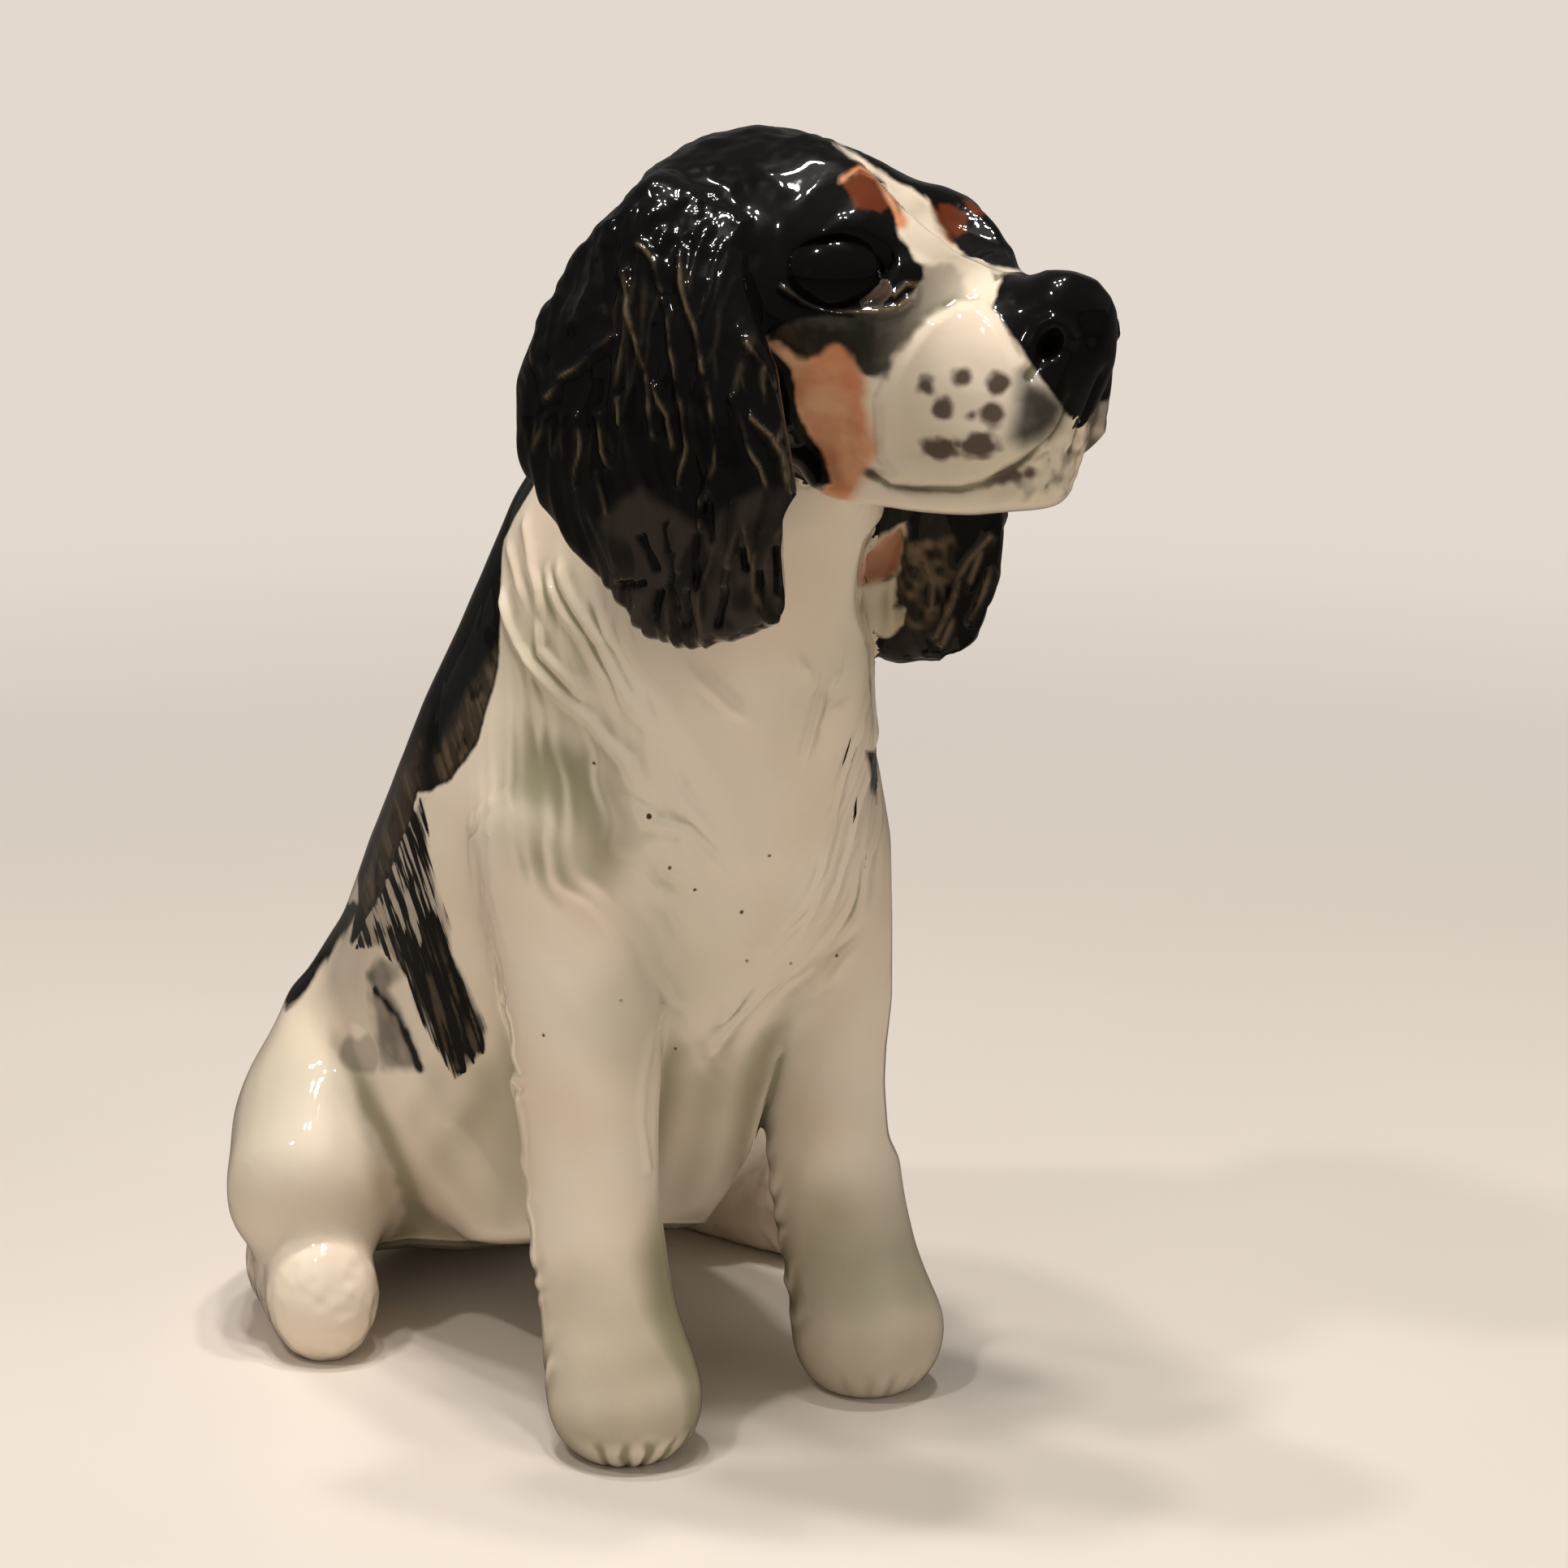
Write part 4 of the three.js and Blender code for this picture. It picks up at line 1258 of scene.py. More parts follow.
    def bed_eyes(self, clay: Clay) -> None:
        """Presses the eye sockets, raises their rims and marks the inner corners.

        Args:
            clay: the surface to carve.
        """
        for mark in ("rim", "pink"):
            clay.marks[mark] = np.zeros(len(clay.points))
        middles = [np.array(self.eye_centre) * np.array((hand, 1.0, 1.0)) for hand in HANDS]
        reaches = [np.linalg.norm(clay.head_points() - middle, axis=1) for middle in middles]
        clay.calm(MIX * np.max([step(8.5, 6.5, reach) for reach in reaches], axis=0), 24)
        for hand, middle in zip(HANDS, middles):
            outward, inward = self.eye_axes(hand)
            places = clay.head_points() - middle
            reach = np.linalg.norm(places, axis=1)
            depth = places @ outward
            near = (reach < 9.0) & (depth > -0.5)
            flat = np.stack((places @ inward, places[:, 2]), axis=1)
            ratio = (flat - np.array(self.eye_shift)) / np.array(self.eye_half)
            inside = 3.0 * (1.0 - np.hypot(ratio[:, 0], ratio[:, 1]))
            inside = np.minimum(inside, self.corner_edge - 0.6 * flat[:, 0] + 0.8 * flat[:, 1])
            sunk = step(-0.35, 0.2, inside) * near * step(8, 6.5, reach)
            floor = self.eye_bed + flat @ np.array(self.eye_tilt)
            bed = np.minimum(floor - depth, 0.0)[:, None] * outward
            lower = to_path(flat, self.lower_rim)
            folds = to_path(flat, self.fold)
            upper = to_path(flat, self.upper_rim)
            rims = (0.42 * ridge(lower, 0.3), 0.16 * ridge(upper, 0.8), 0.25 * ridge(folds, 0.22))
            rim = np.maximum.reduce(rims) * near * (1.0 - sunk)
            clay.move_in_head(bed * sunk[:, None] + rim[:, None] * outward)
            # A pale line on the lower rim and the fold, full towards the inner corner; along the rear the
            # weaker line is a painted highlight.
            line = np.maximum(ridge(lower, 0.15), 0.8 * ridge(folds, 0.14))
            line = line * (0.18 + 0.82 * step(-0.5, 2, flat[:, 0]))
            clay.marks["rim"] = np.maximum(clay.marks["rim"], line * near)
            pink = step(0.75, 0.45, to_path(flat, self.corner)) * near * (1.0 - sunk)
            clay.marks["pink"] = np.maximum(clay.marks["pink"], pink)

    def paint(self, clay: Clay) -> None:
        """Lays the black mask, the tan marks, the blaze, the grey washes, painted shade under the nose and
        the spots.

        Args:
            clay: the surface to mark.
        """
        rows = np.where(clay.is_part(*HEAD))[0]
        places = clay.head_points()[rows]
        left, back, up = places.T
        side = np.abs(left)
        near = clay.head_on_frame(rows, True)
        direct = clay.head_on_frame(rows, False)
        brow = up > self.brow_start
        muzzle = back < self.front_end
        dark = np.maximum(SIGHT.inside(near, self.black_edge), np.minimum(back - 0.5, up + 7.0))
        dark = np.maximum(dark, SIGHT.patch(direct, self.far_black, (left > -1.0) & (up > 3.5)))
        seen = brow & clay.turned_to_sight(-0.3)[rows]
        dark = np.where(seen, np.minimum(dark, 0.1 - SIGHT.inside(direct, self.blaze)), dark)
        blot = SIGHT.patch(near, self.ear_blot, back > self.blot_start)
        dark = np.maximum.reduce((dark, blot, SIGHT.patch(near, self.nose_edge, back < -13.0)))
        rust = SIGHT.patch(near, self.rust, left < self.brow_middle)
        for outline in self.far_rust:
            rust = np.maximum(rust, SIGHT.patch(direct, outline, left > self.brow_middle))
        rust = np.where(brow, rust, NO_MARK)
        edge = self.rust_edge_half - SIGHT.beside(near, self.rust_edge)
        edge = np.where((left < self.brow_middle) & (up > 7.0), edge, NO_MARK)
        cheek = SIGHT.patch(near, self.cheek, (side > 2.5) & (back < 1.0))
        dark = np.minimum(dark, -np.maximum(rust, edge))
        marks = clay.marks
        marks["black"][rows] = np.where(clay.is_part(Part.NOSE)[rows], COVERED, dark)
        marks["black"][rows] -= 12.0 * marks["pink"][rows]
        marks["tan"][rows] = np.maximum.reduce((0.6 * cheek, rust + 0.7, edge + 0.3))
        warm = step(-1.3, -0.5, rust + 0.3 * drift(places, 0.8, 64))
        marks["rust"][rows] = warm * (1.0 - 0.8 * step(-0.2, 0.3, edge))
        marks["spot"][rows] = self.dot(places, near, direct)
        ragged = 0.4 * drift(places, 1.3, 68) + 0.2 * drift(places, 0.6, 69)
        smoke = np.interp(near[:, 0], self.smoke_run, self.smoke_depth)
        smoke = smoke * step(-0.4, 0.35, SIGHT.inside(near, self.smoke_edge) + ragged)
        mottled = step(0, 0.7, drift(places, 1.3, 65) + 0.5 * drift(places, 0.6, 66))
        broken = 0.12 + 0.88 * step(-0.5, 0.5, drift(places, 2.2, 67))
        greys = (
            smoke * (back < 0.5) * (side > 1.5),
            # Painted shade under the nose.
            0.95 * step(-1.3, 0.8, SIGHT.inside(near, self.muzzle_shade)) * muzzle,
            0.14 * step(0, 0.5, SIGHT.inside(direct, self.blaze)) * brow,
            0.55 * mottled * step(-0.3, 0.6, SIGHT.inside(near, self.chin)) * muzzle,
            0.7 * ridge(SIGHT.beside(near, self.lip), self.lip_width) * broken * (back < -5.0),
        )
        marks["smoke"][rows] = np.maximum.reduce(greys)
        marks["flesh"][rows] = marks["pink"][rows]
        # The rim line, whose rear part is a painted highlight, goes in with the worn glaze.
        marks["worn"][rows] = marks["rim"][rows]

    def dot(self, places: Array, near: Array, direct: Array) -> Array:
        """Finds the distances to the spots of the lips.

        Args:
            places: the points in the head's frame.
            near: where they, or their mirror images on the right half, show on the frame.
            direct: where they themselves show.

        Returns:
            A distance in millimetres for each point, positive inside a spot.
        """
        spot = np.full(len(places), NO_MARK)
        uneven = 0.35 * drift(places, 0.7, 63)
        beyond = (places[:, 0] > 0.0) & (places[:, 1] < self.nose_end)
        for right, down, wide, tall in self.spots:
            gap = np.hypot((near[:, 0] - right) / wide, (near[:, 1] - down) / tall) + uneven
            spot = np.maximum(spot, (1.0 - gap) * min(wide, tall) * SIGHT.stride)
        for right, down, wide, tall in self.far_spots:
            gap = np.hypot((direct[:, 0] - right) / wide, (direct[:, 1] - down) / tall)
            found = (1.0 - gap) * min(wide, tall) * SIGHT.stride
            spot = np.maximum(spot, np.where(beyond, found, NO_MARK))
        return spot


@dataclass
class Ears:
    """The two hanging ears with their locks."""

    locks: Comb = Comb(2.1, 0.42, 0.55, 1.6, 8.0, 6.0, 83)
    strands: Comb = Comb(1.3, 0.16, 0.28, 1.0, 6.0, 4.0, 97)
    ragged: float = 0.5
    # Lines of raised hair and of deep cuts on the outer side, on the photograph's frame.
    hairs: Lines = (
        ((787, 305), (805, 328), (819, 360)),
        ((769, 332), (773, 369), (780, 410), (794, 451), (801, 502), (805, 538)),
        ((819, 369), (828, 433), (839, 474), (844, 511), (846, 552), (839, 593)),
        (
            (837, 310), (846, 369), (855, 401), (867, 442), (874, 492), (883, 543), (882, 575), (865, 611),
            (865, 648),
        ),
        ((750, 415), (737, 438), (695, 465), (677, 492)),
        ((709, 515), (714, 561), (709, 598)),
        ((737, 588), (746, 630)),
        ((901, 492), (924, 547), (942, 579), (947, 598)),
        ((924, 515), (951, 538), (965, 561), (970, 598), (981, 616)),
        ((919, 424), (938, 451), (956, 483), (968, 515), (958, 547)),
        ((762, 492), (764, 524)),
        ((737, 515), (741, 552), (750, 570)),
        ((805, 479), (823, 515), (828, 552)),
        ((823, 652), (833, 703)),
        ((906, 621), (901, 662), (892, 721)),
        ((919, 652), (924, 689)),
    )
    cuts: Lines = (
        ((828, 685), (823, 721), (833, 749)),
        ((858, 662), (855, 707), (860, 730)),
        ((933, 707), (936, 753)),
        ((897, 703), (885, 776)),
        ((762, 723), (791, 721)),
        ((954, 675), (956, 730)),
        ((787, 662), (805, 703)),
        ((874, 621), (878, 662)),
        ((915, 675), (919, 703)),
        ((819, 648), (823, 680)),
        ((848, 735), (846, 770)),
        ((812, 730), (806, 765)),
    )
    # Where the black glaze is thin.
    bare: Line = (
        (740, 640), (787, 600), (819, 627), (860, 654), (897, 625), (942, 600), (990, 593), (990, 780),
        (924, 810), (796, 800), (720, 730),
    )
    # Front edge of the right ear, and right edge of the left one.
    front_edge: Line = ((984, 604), (971, 622), (963, 640), (963, 685), (966, 720), (966, 750), (956, 776))
    far_edge: Line = (
        (1245, 620), (1237, 651), (1233, 682), (1228, 709), (1222, 730), (1210, 759), (1199, 782),
        (1176, 799), (1156, 816), (1150, 830),
    )
    # How far left the inside of the left ear begins, and the marks inside it.
    inner_from: float = 2.0
    hollow: Line = (
        (1114, 645), (1089, 657), (1066, 680), (1056, 708), (1056, 727), (1085, 718), (1104, 710),
        (1112, 690), (1117, 668),
    )
    fold: Line = (
        (1054, 727), (1104, 710), (1101, 735), (1098, 750), (1115, 752), (1115, 772), (1090, 786),
        (1072, 778), (1050, 751),
    )
    mottled: Line = (
        (1120, 646), (1130, 664), (1172, 664), (1180, 700), (1172, 740), (1150, 772), (1125, 772),
        (1104, 748), (1104, 720), (1116, 690),
    )
    far_hairs: Lines = (
        ((1220, 662), (1193, 691), (1181, 712), (1176, 735), (1166, 759), (1154, 784)),
        ((1208, 682), (1201, 701), (1195, 716)),
        ((1174, 764), (1162, 793)),
        ((1222, 700), (1212, 730), (1196, 760)),
        ((1140, 690), (1150, 720), (1148, 750)),
    )

    @staticmethod
    def trace(spots: Array, paths: Lines, width: float) -> Array:
        """Marks the points near lines on the photograph's frame.

        Args:
            spots: places on the frame.
            paths: the lines.
            width: half their width in millimetres.

        Returns:
            A share for each place, 1 on a line.
        """
        share = np.zeros(len(spots))
        for path in paths:
            share = np.maximum(share, ridge(SIGHT.beside(spots, path), width))
        return share

    def sculpt(self, clay: Clay) -> None:
        """Carves wavy locks down the ears, frays their lower edges and marks where they are worn.

        Args:
            clay: the surface to carve.
        """
        clay.trim(np.where(clay.is_part(Part.RIGHT_EAR))[0], self.front_edge, Way.LEFT, 8)
        clay.trim(np.where(clay.is_part(Part.LEFT_EAR))[0], self.far_edge, Way.LEFT, 8)
        self.open_left(clay)
        clay.find_normals()
        ears = clay.soft_mask(14, *EARS)
        rows = np.where(ears > FAINT)[0]
        places = clay.head_points()[rows]
        left, back, up = places.T
        points = clay.points[rows]
        waver = np.stack([drift(points, 2.2, seed) for seed in (86, 87)], axis=1)
        spots = clay.head_on_frame(rows, True) + 5.0 * waver
        outer = step(-0.1, 0.4, clay.normals[rows, 0] * np.sign(left))
        down = step(11, 5, up)
        sway = 0.8 * np.sin(up / 2.6 + 0.3 * back) * step(4, -8, up)
        thick, thick_top = self.locks.ridges(back + sway, points)
        thin, thin_top = self.strands.ridges(back + 0.7 * sway, points)
        hair = self.trace(spots, self.hairs, 0.36) * outer
        crest = self.trace(spots, self.hairs, 0.12) * outer
        cut = self.trace(spots, self.cuts, 0.3) * outer
        beads = 0.26 * drift(points, 1.5, 105) + 0.1 * drift(points, 0.7, 106)
        beads = beads * (step(14, 9, up) * step(-6, 2, up))
        beads = beads * (0.35 + 0.65 * step(-0.2, 0.4, drift(points, 4.0, 107)))
        relief = (thick + thin - 0.15) * down * (0.4 + 0.6 * outer) + 0.4 * hair - 0.4 * cut + beads
        clay.push(clay.over(rows, relief * ears[rows]))
        hem = step(-14, -20, up) * ears[rows]
        key = np.stack((back, np.zeros(len(rows)), np.sign(left) * 40.0), axis=1)
        clay.points[rows, 2] += self.ragged * drift(key, 2.3, 101) * hem
        patchy = step(-0.1, 0.5, drift(points, 3.2, 111))
        rubbed = np.maximum(0.45 * thick_top, 0.4 * thin_top) * patchy * down * step(8, -4, up)
        worn = np.maximum(rubbed * outer, 0.7 * crest * step(-0.5, 0.3, drift(points, 2.0, 112)))
        clay.marks["worn_ears"] = clay.over(rows, worn) * ears
        streak = np.stack((back + sway, 0.2 * up, left), axis=1)
        streaky = step(-0.5, 0.4, drift(streak, 0.9, 113) + 0.6 * drift(points, 2.6, 114))
        low = step(-0.6, 0.6, SIGHT.inside(spots, self.bare)) * outer
        thinned = low * (0.25 + 0.75 * streaky) * step(0.5, 0.15, cut)
        clay.marks["thin_ears"] = clay.over(rows, thinned)

    def open_left(self, clay: Clay) -> None:
        """Hollows the left ear where it opens towards the neck, and raises the hair inside it.

        Args:
            clay: the surface to carve.
        """
        inner = clay.is_part(Part.LEFT_EAR, Part.TRUNK, Part.SKULL) & clay.turned_to_sight(0.0)
        rows = np.where(inner & (clay.points[:, 0] > self.inner_from))[0]
        spots = clay.on_frame(rows)
        hollow = SIGHT.inside(spots, self.hollow)
        both = np.maximum(hollow, SIGHT.inside(spots, self.fold))
        clay.calm(MIX * clay.over(rows, step(-0.6, 0.4, both)), 60)
        clay.find_normals()
        lift = -0.9 * step(0, 1.2, hollow)
        lift += 0.5 * self.trace(spots, self.far_hairs, 0.4) * clay.is_part(Part.LEFT_EAR)[rows]
        clay.push(clay.over(rows, lift))

    def paint(self, clay: Clay) -> None:
        """Lays the black glaze of the ears and the paler inside of the left one.

        Args:
            clay: the surface to mark.
        """
        marks = clay.marks
        rows = np.where(clay.is_part(*EARS))[0]
        marks["black"][rows] = COVERED
        marks["worn"][rows] = marks["worn_ears"][rows]
        marks["dry"][rows] = 0.0
        inner = clay.is_part(Part.LEFT_EAR, Part.TRUNK) & clay.turned_to_sight(0.0)
        rows = np.where(inner & (clay.points[:, 0] > self.inner_from))[0]
        spots = clay.on_frame(rows)
        ear = clay.is_part(Part.LEFT_EAR)[rows]
        hollow = SIGHT.inside(spots, self.hollow)
        fold = SIGHT.inside(spots, self.fold)
        blotch = drift(clay.points[rows], 1.5, 117) + 0.6 * drift(clay.points[rows], 0.7, 118)
        dark = np.minimum(COVERED, -np.maximum(hollow, fold) + 0.3 * blotch)
        marks["black"][rows] = np.where(ear, dark, marks["black"][rows])
        marks["flesh"][rows] = 0.9 * step(-0.1, 0.5, hollow)
        worn = step(-0.6, 0.5, SIGHT.inside(spots, self.mottled)) * step(-0.7, 0.5, blotch)
        worn = np.maximum(worn, 0.8 * self.trace(spots, self.far_hairs, 0.2)) * ear
        marks["worn"][rows] = np.maximum(marks["worn"][rows], worn)


class Marks(Enum):
    """The marks that the shader reads from the mesh."""

    # Pooled glaze in hollows, with painted shade added on the chest, the belly and the legs.
    HOLLOW = "hollow"
    BLACK = "black"
    DRY = "dry"
    # Grey washes, and painted shade under the nose.
    SMOKE = "smoke"
    TAN = "tan"
    RUST = "rust"
    FLESH = "flesh"
    SPOT = "spot"
    SPECK = "speck"
    # Worn glaze, with a weak painted highlight along the eyes' lower rims.
    WORN = "worn"
    THIN = "thin_ears"
    # Painted light on the hind feet.
    PALE = "pale"
    ACROSS = "comb_across"
    ALONG = "comb_along"


@dataclass(frozen=True)
class Ware:
    """Colours of the glazed earthenware."""

    cream: Colour = linear(235, 221, 201)
    cream_warm: Colour = linear(232, 207, 182)
    cream_cool: Colour = linear(190, 183, 156)
    # Pooled glaze, and painted shade on the chest, the belly and the legs.
    pool: Colour = linear(140, 134, 103)
    black: Colour = linear(13, 11, 10)
    thin: Colour = linear(62, 54, 48)
    # Worn glaze, and a weak painted highlight along the eyes' lower rims.
    worn: Colour = linear(126, 108, 84)
    # Grey wash, and painted shade under the nose.
    smoke: Colour = linear(32, 30, 25)
    salmon: Colour = linear(208, 138, 98)
    salmon_pale: Colour = linear(226, 172, 132)
    rust: Colour = linear(96, 45, 25)
    flesh: Colour = linear(204, 148, 116)
    spot: Colour = linear(94, 80, 70)
    speck: Colour = linear(92, 52, 28)
    # Painted light on the hind feet.
    pale: Colour = linear(252, 234, 212)
    rough: float = 0.3
    coat_rough: float = 0.045
    specular: float = 0.03
    coat_ior: float = 1.4
    ripple_height: float = 0.0001


class Shade:
    """A node tree under construction, with short ways to place and join nodes."""

    def __init__(self, tree: bpy.types.NodeTree) -> None:
        """Takes the tree that the nodes go into, and empties it."""
        self.tree = tree
        tree.nodes.clear()

    def node(self, kind: str, feeds: dict[object, object], **settings: object) -> bpy.types.Node:
        """Places a node, sets its properties and feeds its inputs.

        Args:
            kind: the node's type name.
            feeds: a socket or a plain value for each input, by name or number.
            settings: properties by name.

        Returns:
            The node.
        """
        made = self.tree.nodes.new(kind)
        for name, value in settings.items():
            setattr(made, name, value)
        for name, value in feeds.items():
            if isinstance(value, bpy.types.NodeSocket):
                self.tree.links.new(value, made.inputs[name])
            else:
                made.inputs[name].default_value = value
        return made

    def mark(self, name: Marks) -> Socket:
        """The value of one mark on the mesh."""
        return self.node("ShaderNodeAttribute", {}, attribute_name=name.value).outputs["Fac"]

    def math(self, operation: str, first: object, second: object, third: object = 0.0) -> Socket:
        """Places one Math node."""
        return self.node("ShaderNodeMath", {0: first, 1: second, 2: third}, operation=operation).outputs[0]

    def times(self, first: object, second: object) -> Socket:
        """Multiplies two values."""
        return self.math("MULTIPLY", first, second)

    def ramp(self, value: object, low: object, high: object) -> Socket:
        """Rises smoothly from 0 at low to 1 at high."""
        feeds = {"Value": value, "From Min": low, "From Max": high}
        return self.node("ShaderNodeMapRange", feeds, interpolation_type="SMOOTHSTEP").outputs["Result"]

    def blend(self, share: object, first: object, second: object) -> Socket:
        """Mixes two colours by a share from 0 to 1."""
        return self.node("ShaderNodeMix", {0: share, 6: first, 7: second}, data_type="RGBA").outputs[2]

    def noise(self, vector: object, scale: float, detail: float) -> Socket:
        """Fractal noise from 0 to 1 at a scale."""
        feeds = {"Vector": vector, "Scale": scale, "Detail": detail}
        return self.node("ShaderNodeTexNoise", feeds).outputs["Fac"]

    def place(self) -> Socket:
        """The point on the object, in metres."""
        return self.node("ShaderNodeTexCoord", {}).outputs["Object"]

    def group(self, made: bpy.types.NodeTree, **values: object) -> Socket:
        """Places a shared group, feeds its inputs by name and gives its result."""
        return self.node("ShaderNodeGroup", values, node_tree=made).outputs[0]

    def finish(self, surface: Socket) -> None:
        """Ends a material in its surface."""
        self.node("ShaderNodeOutputMaterial", {"Surface": surface})


class Glazes:
    """The node groups and materials of the figurine."""

    def __init__(self, ware: Ware) -> None:
        """Builds the shared groups once."""
        self.ware = ware
        self.brush = self.brush_group()
        self.ripple = self.ripple_group()

    @staticmethod
    def new_group(name: str, numbers: Sequence[str], result: str) -> Shade:
        """Makes a group that takes a place and numbers, and gives one number.

        Args:
            name: name of the group.
            numbers: names of the numbers that it takes.
            result: name of the number that it gives.

        Returns:
            The group's tree under construction.
        """
        tree = bpy.data.node_groups.new(name, "ShaderNodeTree")
        tree.interface.new_socket("Place", in_out="INPUT", socket_type="NodeSocketVector")
        for label in numbers:
            tree.interface.new_socket(label, in_out="INPUT", socket_type="NodeSocketFloat")
        tree.interface.new_socket(result, in_out="OUTPUT", socket_type="NodeSocketFloat")
        return Shade(tree)

    def brush_group(self) -> bpy.types.NodeTree:
        """A painted edge: a distance in millimetres becomes a mask with a brushed edge.

        Returns:
            The group.
        """
        shade = self.new_group("brushed_edge", ("Distance", "Wobble", "Soft"), "Mask")
        given = shade.node("NodeGroupInput", {}).outputs
        sway = shade.math("SUBTRACT", shade.noise(given["Place"], 420.0, 3.0), 0.5)
        moved = shade.math("MULTIPLY_ADD", sway, given["Wobble"], given["Distance"])
        below = shade.times(given["Soft"], -1.0)
        shade.node("NodeGroupOutput", {"Mask": shade.ramp(moved, below, given["Soft"])})
        return shade.tree

    def ripple_group(self) -> bpy.types.NodeTree:
        """The slight ripple of a brushed-on glaze, as a height.

        Returns:
            The group.
        """
        shade = self.new_group("glaze_ripple", ("Strength",), "Height")
        given = shade.node("NodeGroupInput", {}).outputs
        wide = shade.noise(given["Place"], 330.0, 2.0)
        fine = shade.noise(given["Place"], 1500.0, 2.0)
        both = shade.math("MULTIPLY_ADD", fine, 0.25, wide)
        shade.node("NodeGroupOutput", {"Height": shade.times(both, given["Strength"])})
        return shade.tree

    def coat(self, shade: Shade, colour: Socket, rough: float, coat_rough: float, ripple: float) -> None:
        """Lays clear rippled glaze over a colour and ends the material.

        Args:
            shade: the material's tree.
            colour: the colour under the glaze.
            rough: roughness of the body.
            coat_rough: roughness of the glaze.
            ripple: strength of its ripple.
        """
        height = shade.group(self.ripple, Place=shade.place(), Strength=1.0)
        feeds = {"Height": height, "Distance": self.ware.ripple_height, "Strength": ripple}
        bump = shade.node("ShaderNodeBump", feeds)
        feeds = {
            "Base Color": colour,
            "Roughness": rough,
            "Specular IOR Level": self.ware.specular,
            "Coat Weight": 1.0,
            "Coat IOR": self.ware.coat_ior,
            "Coat Roughness": coat_rough,
            "Normal": bump.outputs[0],
        }
        shade.finish(shade.node("ShaderNodeBsdfPrincipled", feeds).outputs[0])

    def painted(self) -> bpy.types.Material:
        """The painted earthenware under its clear glaze.

        Returns:
            The material of every clay piece.
        """
        ware = self.ware
        made = bpy.data.materials.new("painted_earthenware")
        made.use_nodes = True
        shade = Shade(made.node_tree)
        place = shade.place()
        hollow = shade.mark(Marks.HOLLOW)
        across = shade.times(shade.mark(Marks.ACROSS), 2.3)
        along = shade.times(shade.mark(Marks.ALONG), 0.12)
        streak = shade.noise(shade.node("ShaderNodeCombineXYZ", {0: across, 1: along}).outputs[0], 1.0, 3.0)
        fine = shade.noise(place, 420.0, 3.0)
        warm = shade.times(shade.ramp(shade.noise(place, 90.0, 2.0), 0.4, 0.75), 0.6)
        body = shade.blend(warm, ware.cream, ware.cream_warm)
        cloud = shade.times(shade.ramp(shade.noise(place, 55.0, 1.0), 0.46, 0.68), 0.5)
        body = shade.blend(cloud, body, ware.cream_cool)
        # Pooled glaze in hollows and towards the paws, with painted shade on the chest, the belly and the
        # legs.
        body = shade.blend(shade.times(shade.ramp(hollow, 0.01, 0.15), 0.85), body, ware.pool)
        body = shade.blend(shade.ramp(shade.mark(Marks.SPECK), -0.05, 0.08), body, ware.speck)
        tan = shade.group(self.brush, Place=place, Distance=shade.mark(Marks.TAN), Wobble=0.9, Soft=0.4)
        uneven = shade.ramp(shade.noise(place, 230.0, 3.0), 0.36, 0.64)
        tint = shade.blend(uneven, ware.salmon, ware.salmon_pale)
        tint = shade.blend(shade.mark(Marks.RUST), tint, ware.rust)
        body = shade.blend(tan, body, tint)
        body = shade.blend(shade.mark(Marks.FLESH), body, ware.flesh)
        # Painted light on the hind feet.
        body = shade.blend(shade.mark(Marks.PALE), body, ware.pale)
        patchy = shade.math("MULTIPLY_ADD", shade.ramp(fine, 0.25, 0.6), 0.06, 0.94)
        # Grey washes, and painted shade under the nose.
        body = shade.blend(shade.times(shade.mark(Marks.SMOKE), patchy), body, ware.smoke)
        spot = shade.group(self.brush, Place=place, Distance=shade.mark(Marks.SPOT), Wobble=0.8, Soft=0.32)
        body = shade.blend(spot, body, ware.spot)
        thinned = shade.times(shade.math("SUBTRACT", streak, 0.5), 12.0)
        edge = shade.math("MULTIPLY_ADD", thinned, shade.mark(Marks.DRY), shade.mark(Marks.BLACK))
        black = shade.group(self.brush, Place=place, Distance=edge, Wobble=0.9, Soft=0.22)
        ink = shade.blend(shade.times(shade.mark(Marks.THIN), 0.75), ware.black, ware.thin)
        body = shade.blend(black, body, ink)
        # Worn glaze, with a weak painted highlight along the eyes' lower rims.
        rubbed = shade.times(shade.mark(Marks.WORN), shade.ramp(fine, 0.3, 0.55))
        body = shade.blend(shade.times(rubbed, 0.85), body, ware.worn)
        self.coat(shade, body, ware.rough, ware.coat_rough, 0.5)
        return made

    def gloss(self, name: str, dark: Colour, light: Colour) -> bpy.types.Material:
        """A black glaze that breaks to a lighter tone in thin places.

        Args:
            name: name of the material.
            dark: colour where the glaze is thick.
            light: colour where it is thin.

        Returns:
            The material.
        """
        made = bpy.data.materials.new(name)
        made.use_nodes = True
        shade = Shade(made.node_tree)
        thin = shade.ramp(shade.noise(shade.place(), 520.0, 4.0), 0.58, 0.74)
        self.coat(shade, shade.blend(thin, dark, light), 0.25, 0.03, 0.4)
        return made


@dataclass(frozen=True)
class Piece:
    """A piece's name, its finish and the solids that it stands for."""

    name: str
    slot: Slot
    solids: tuple[str, ...]


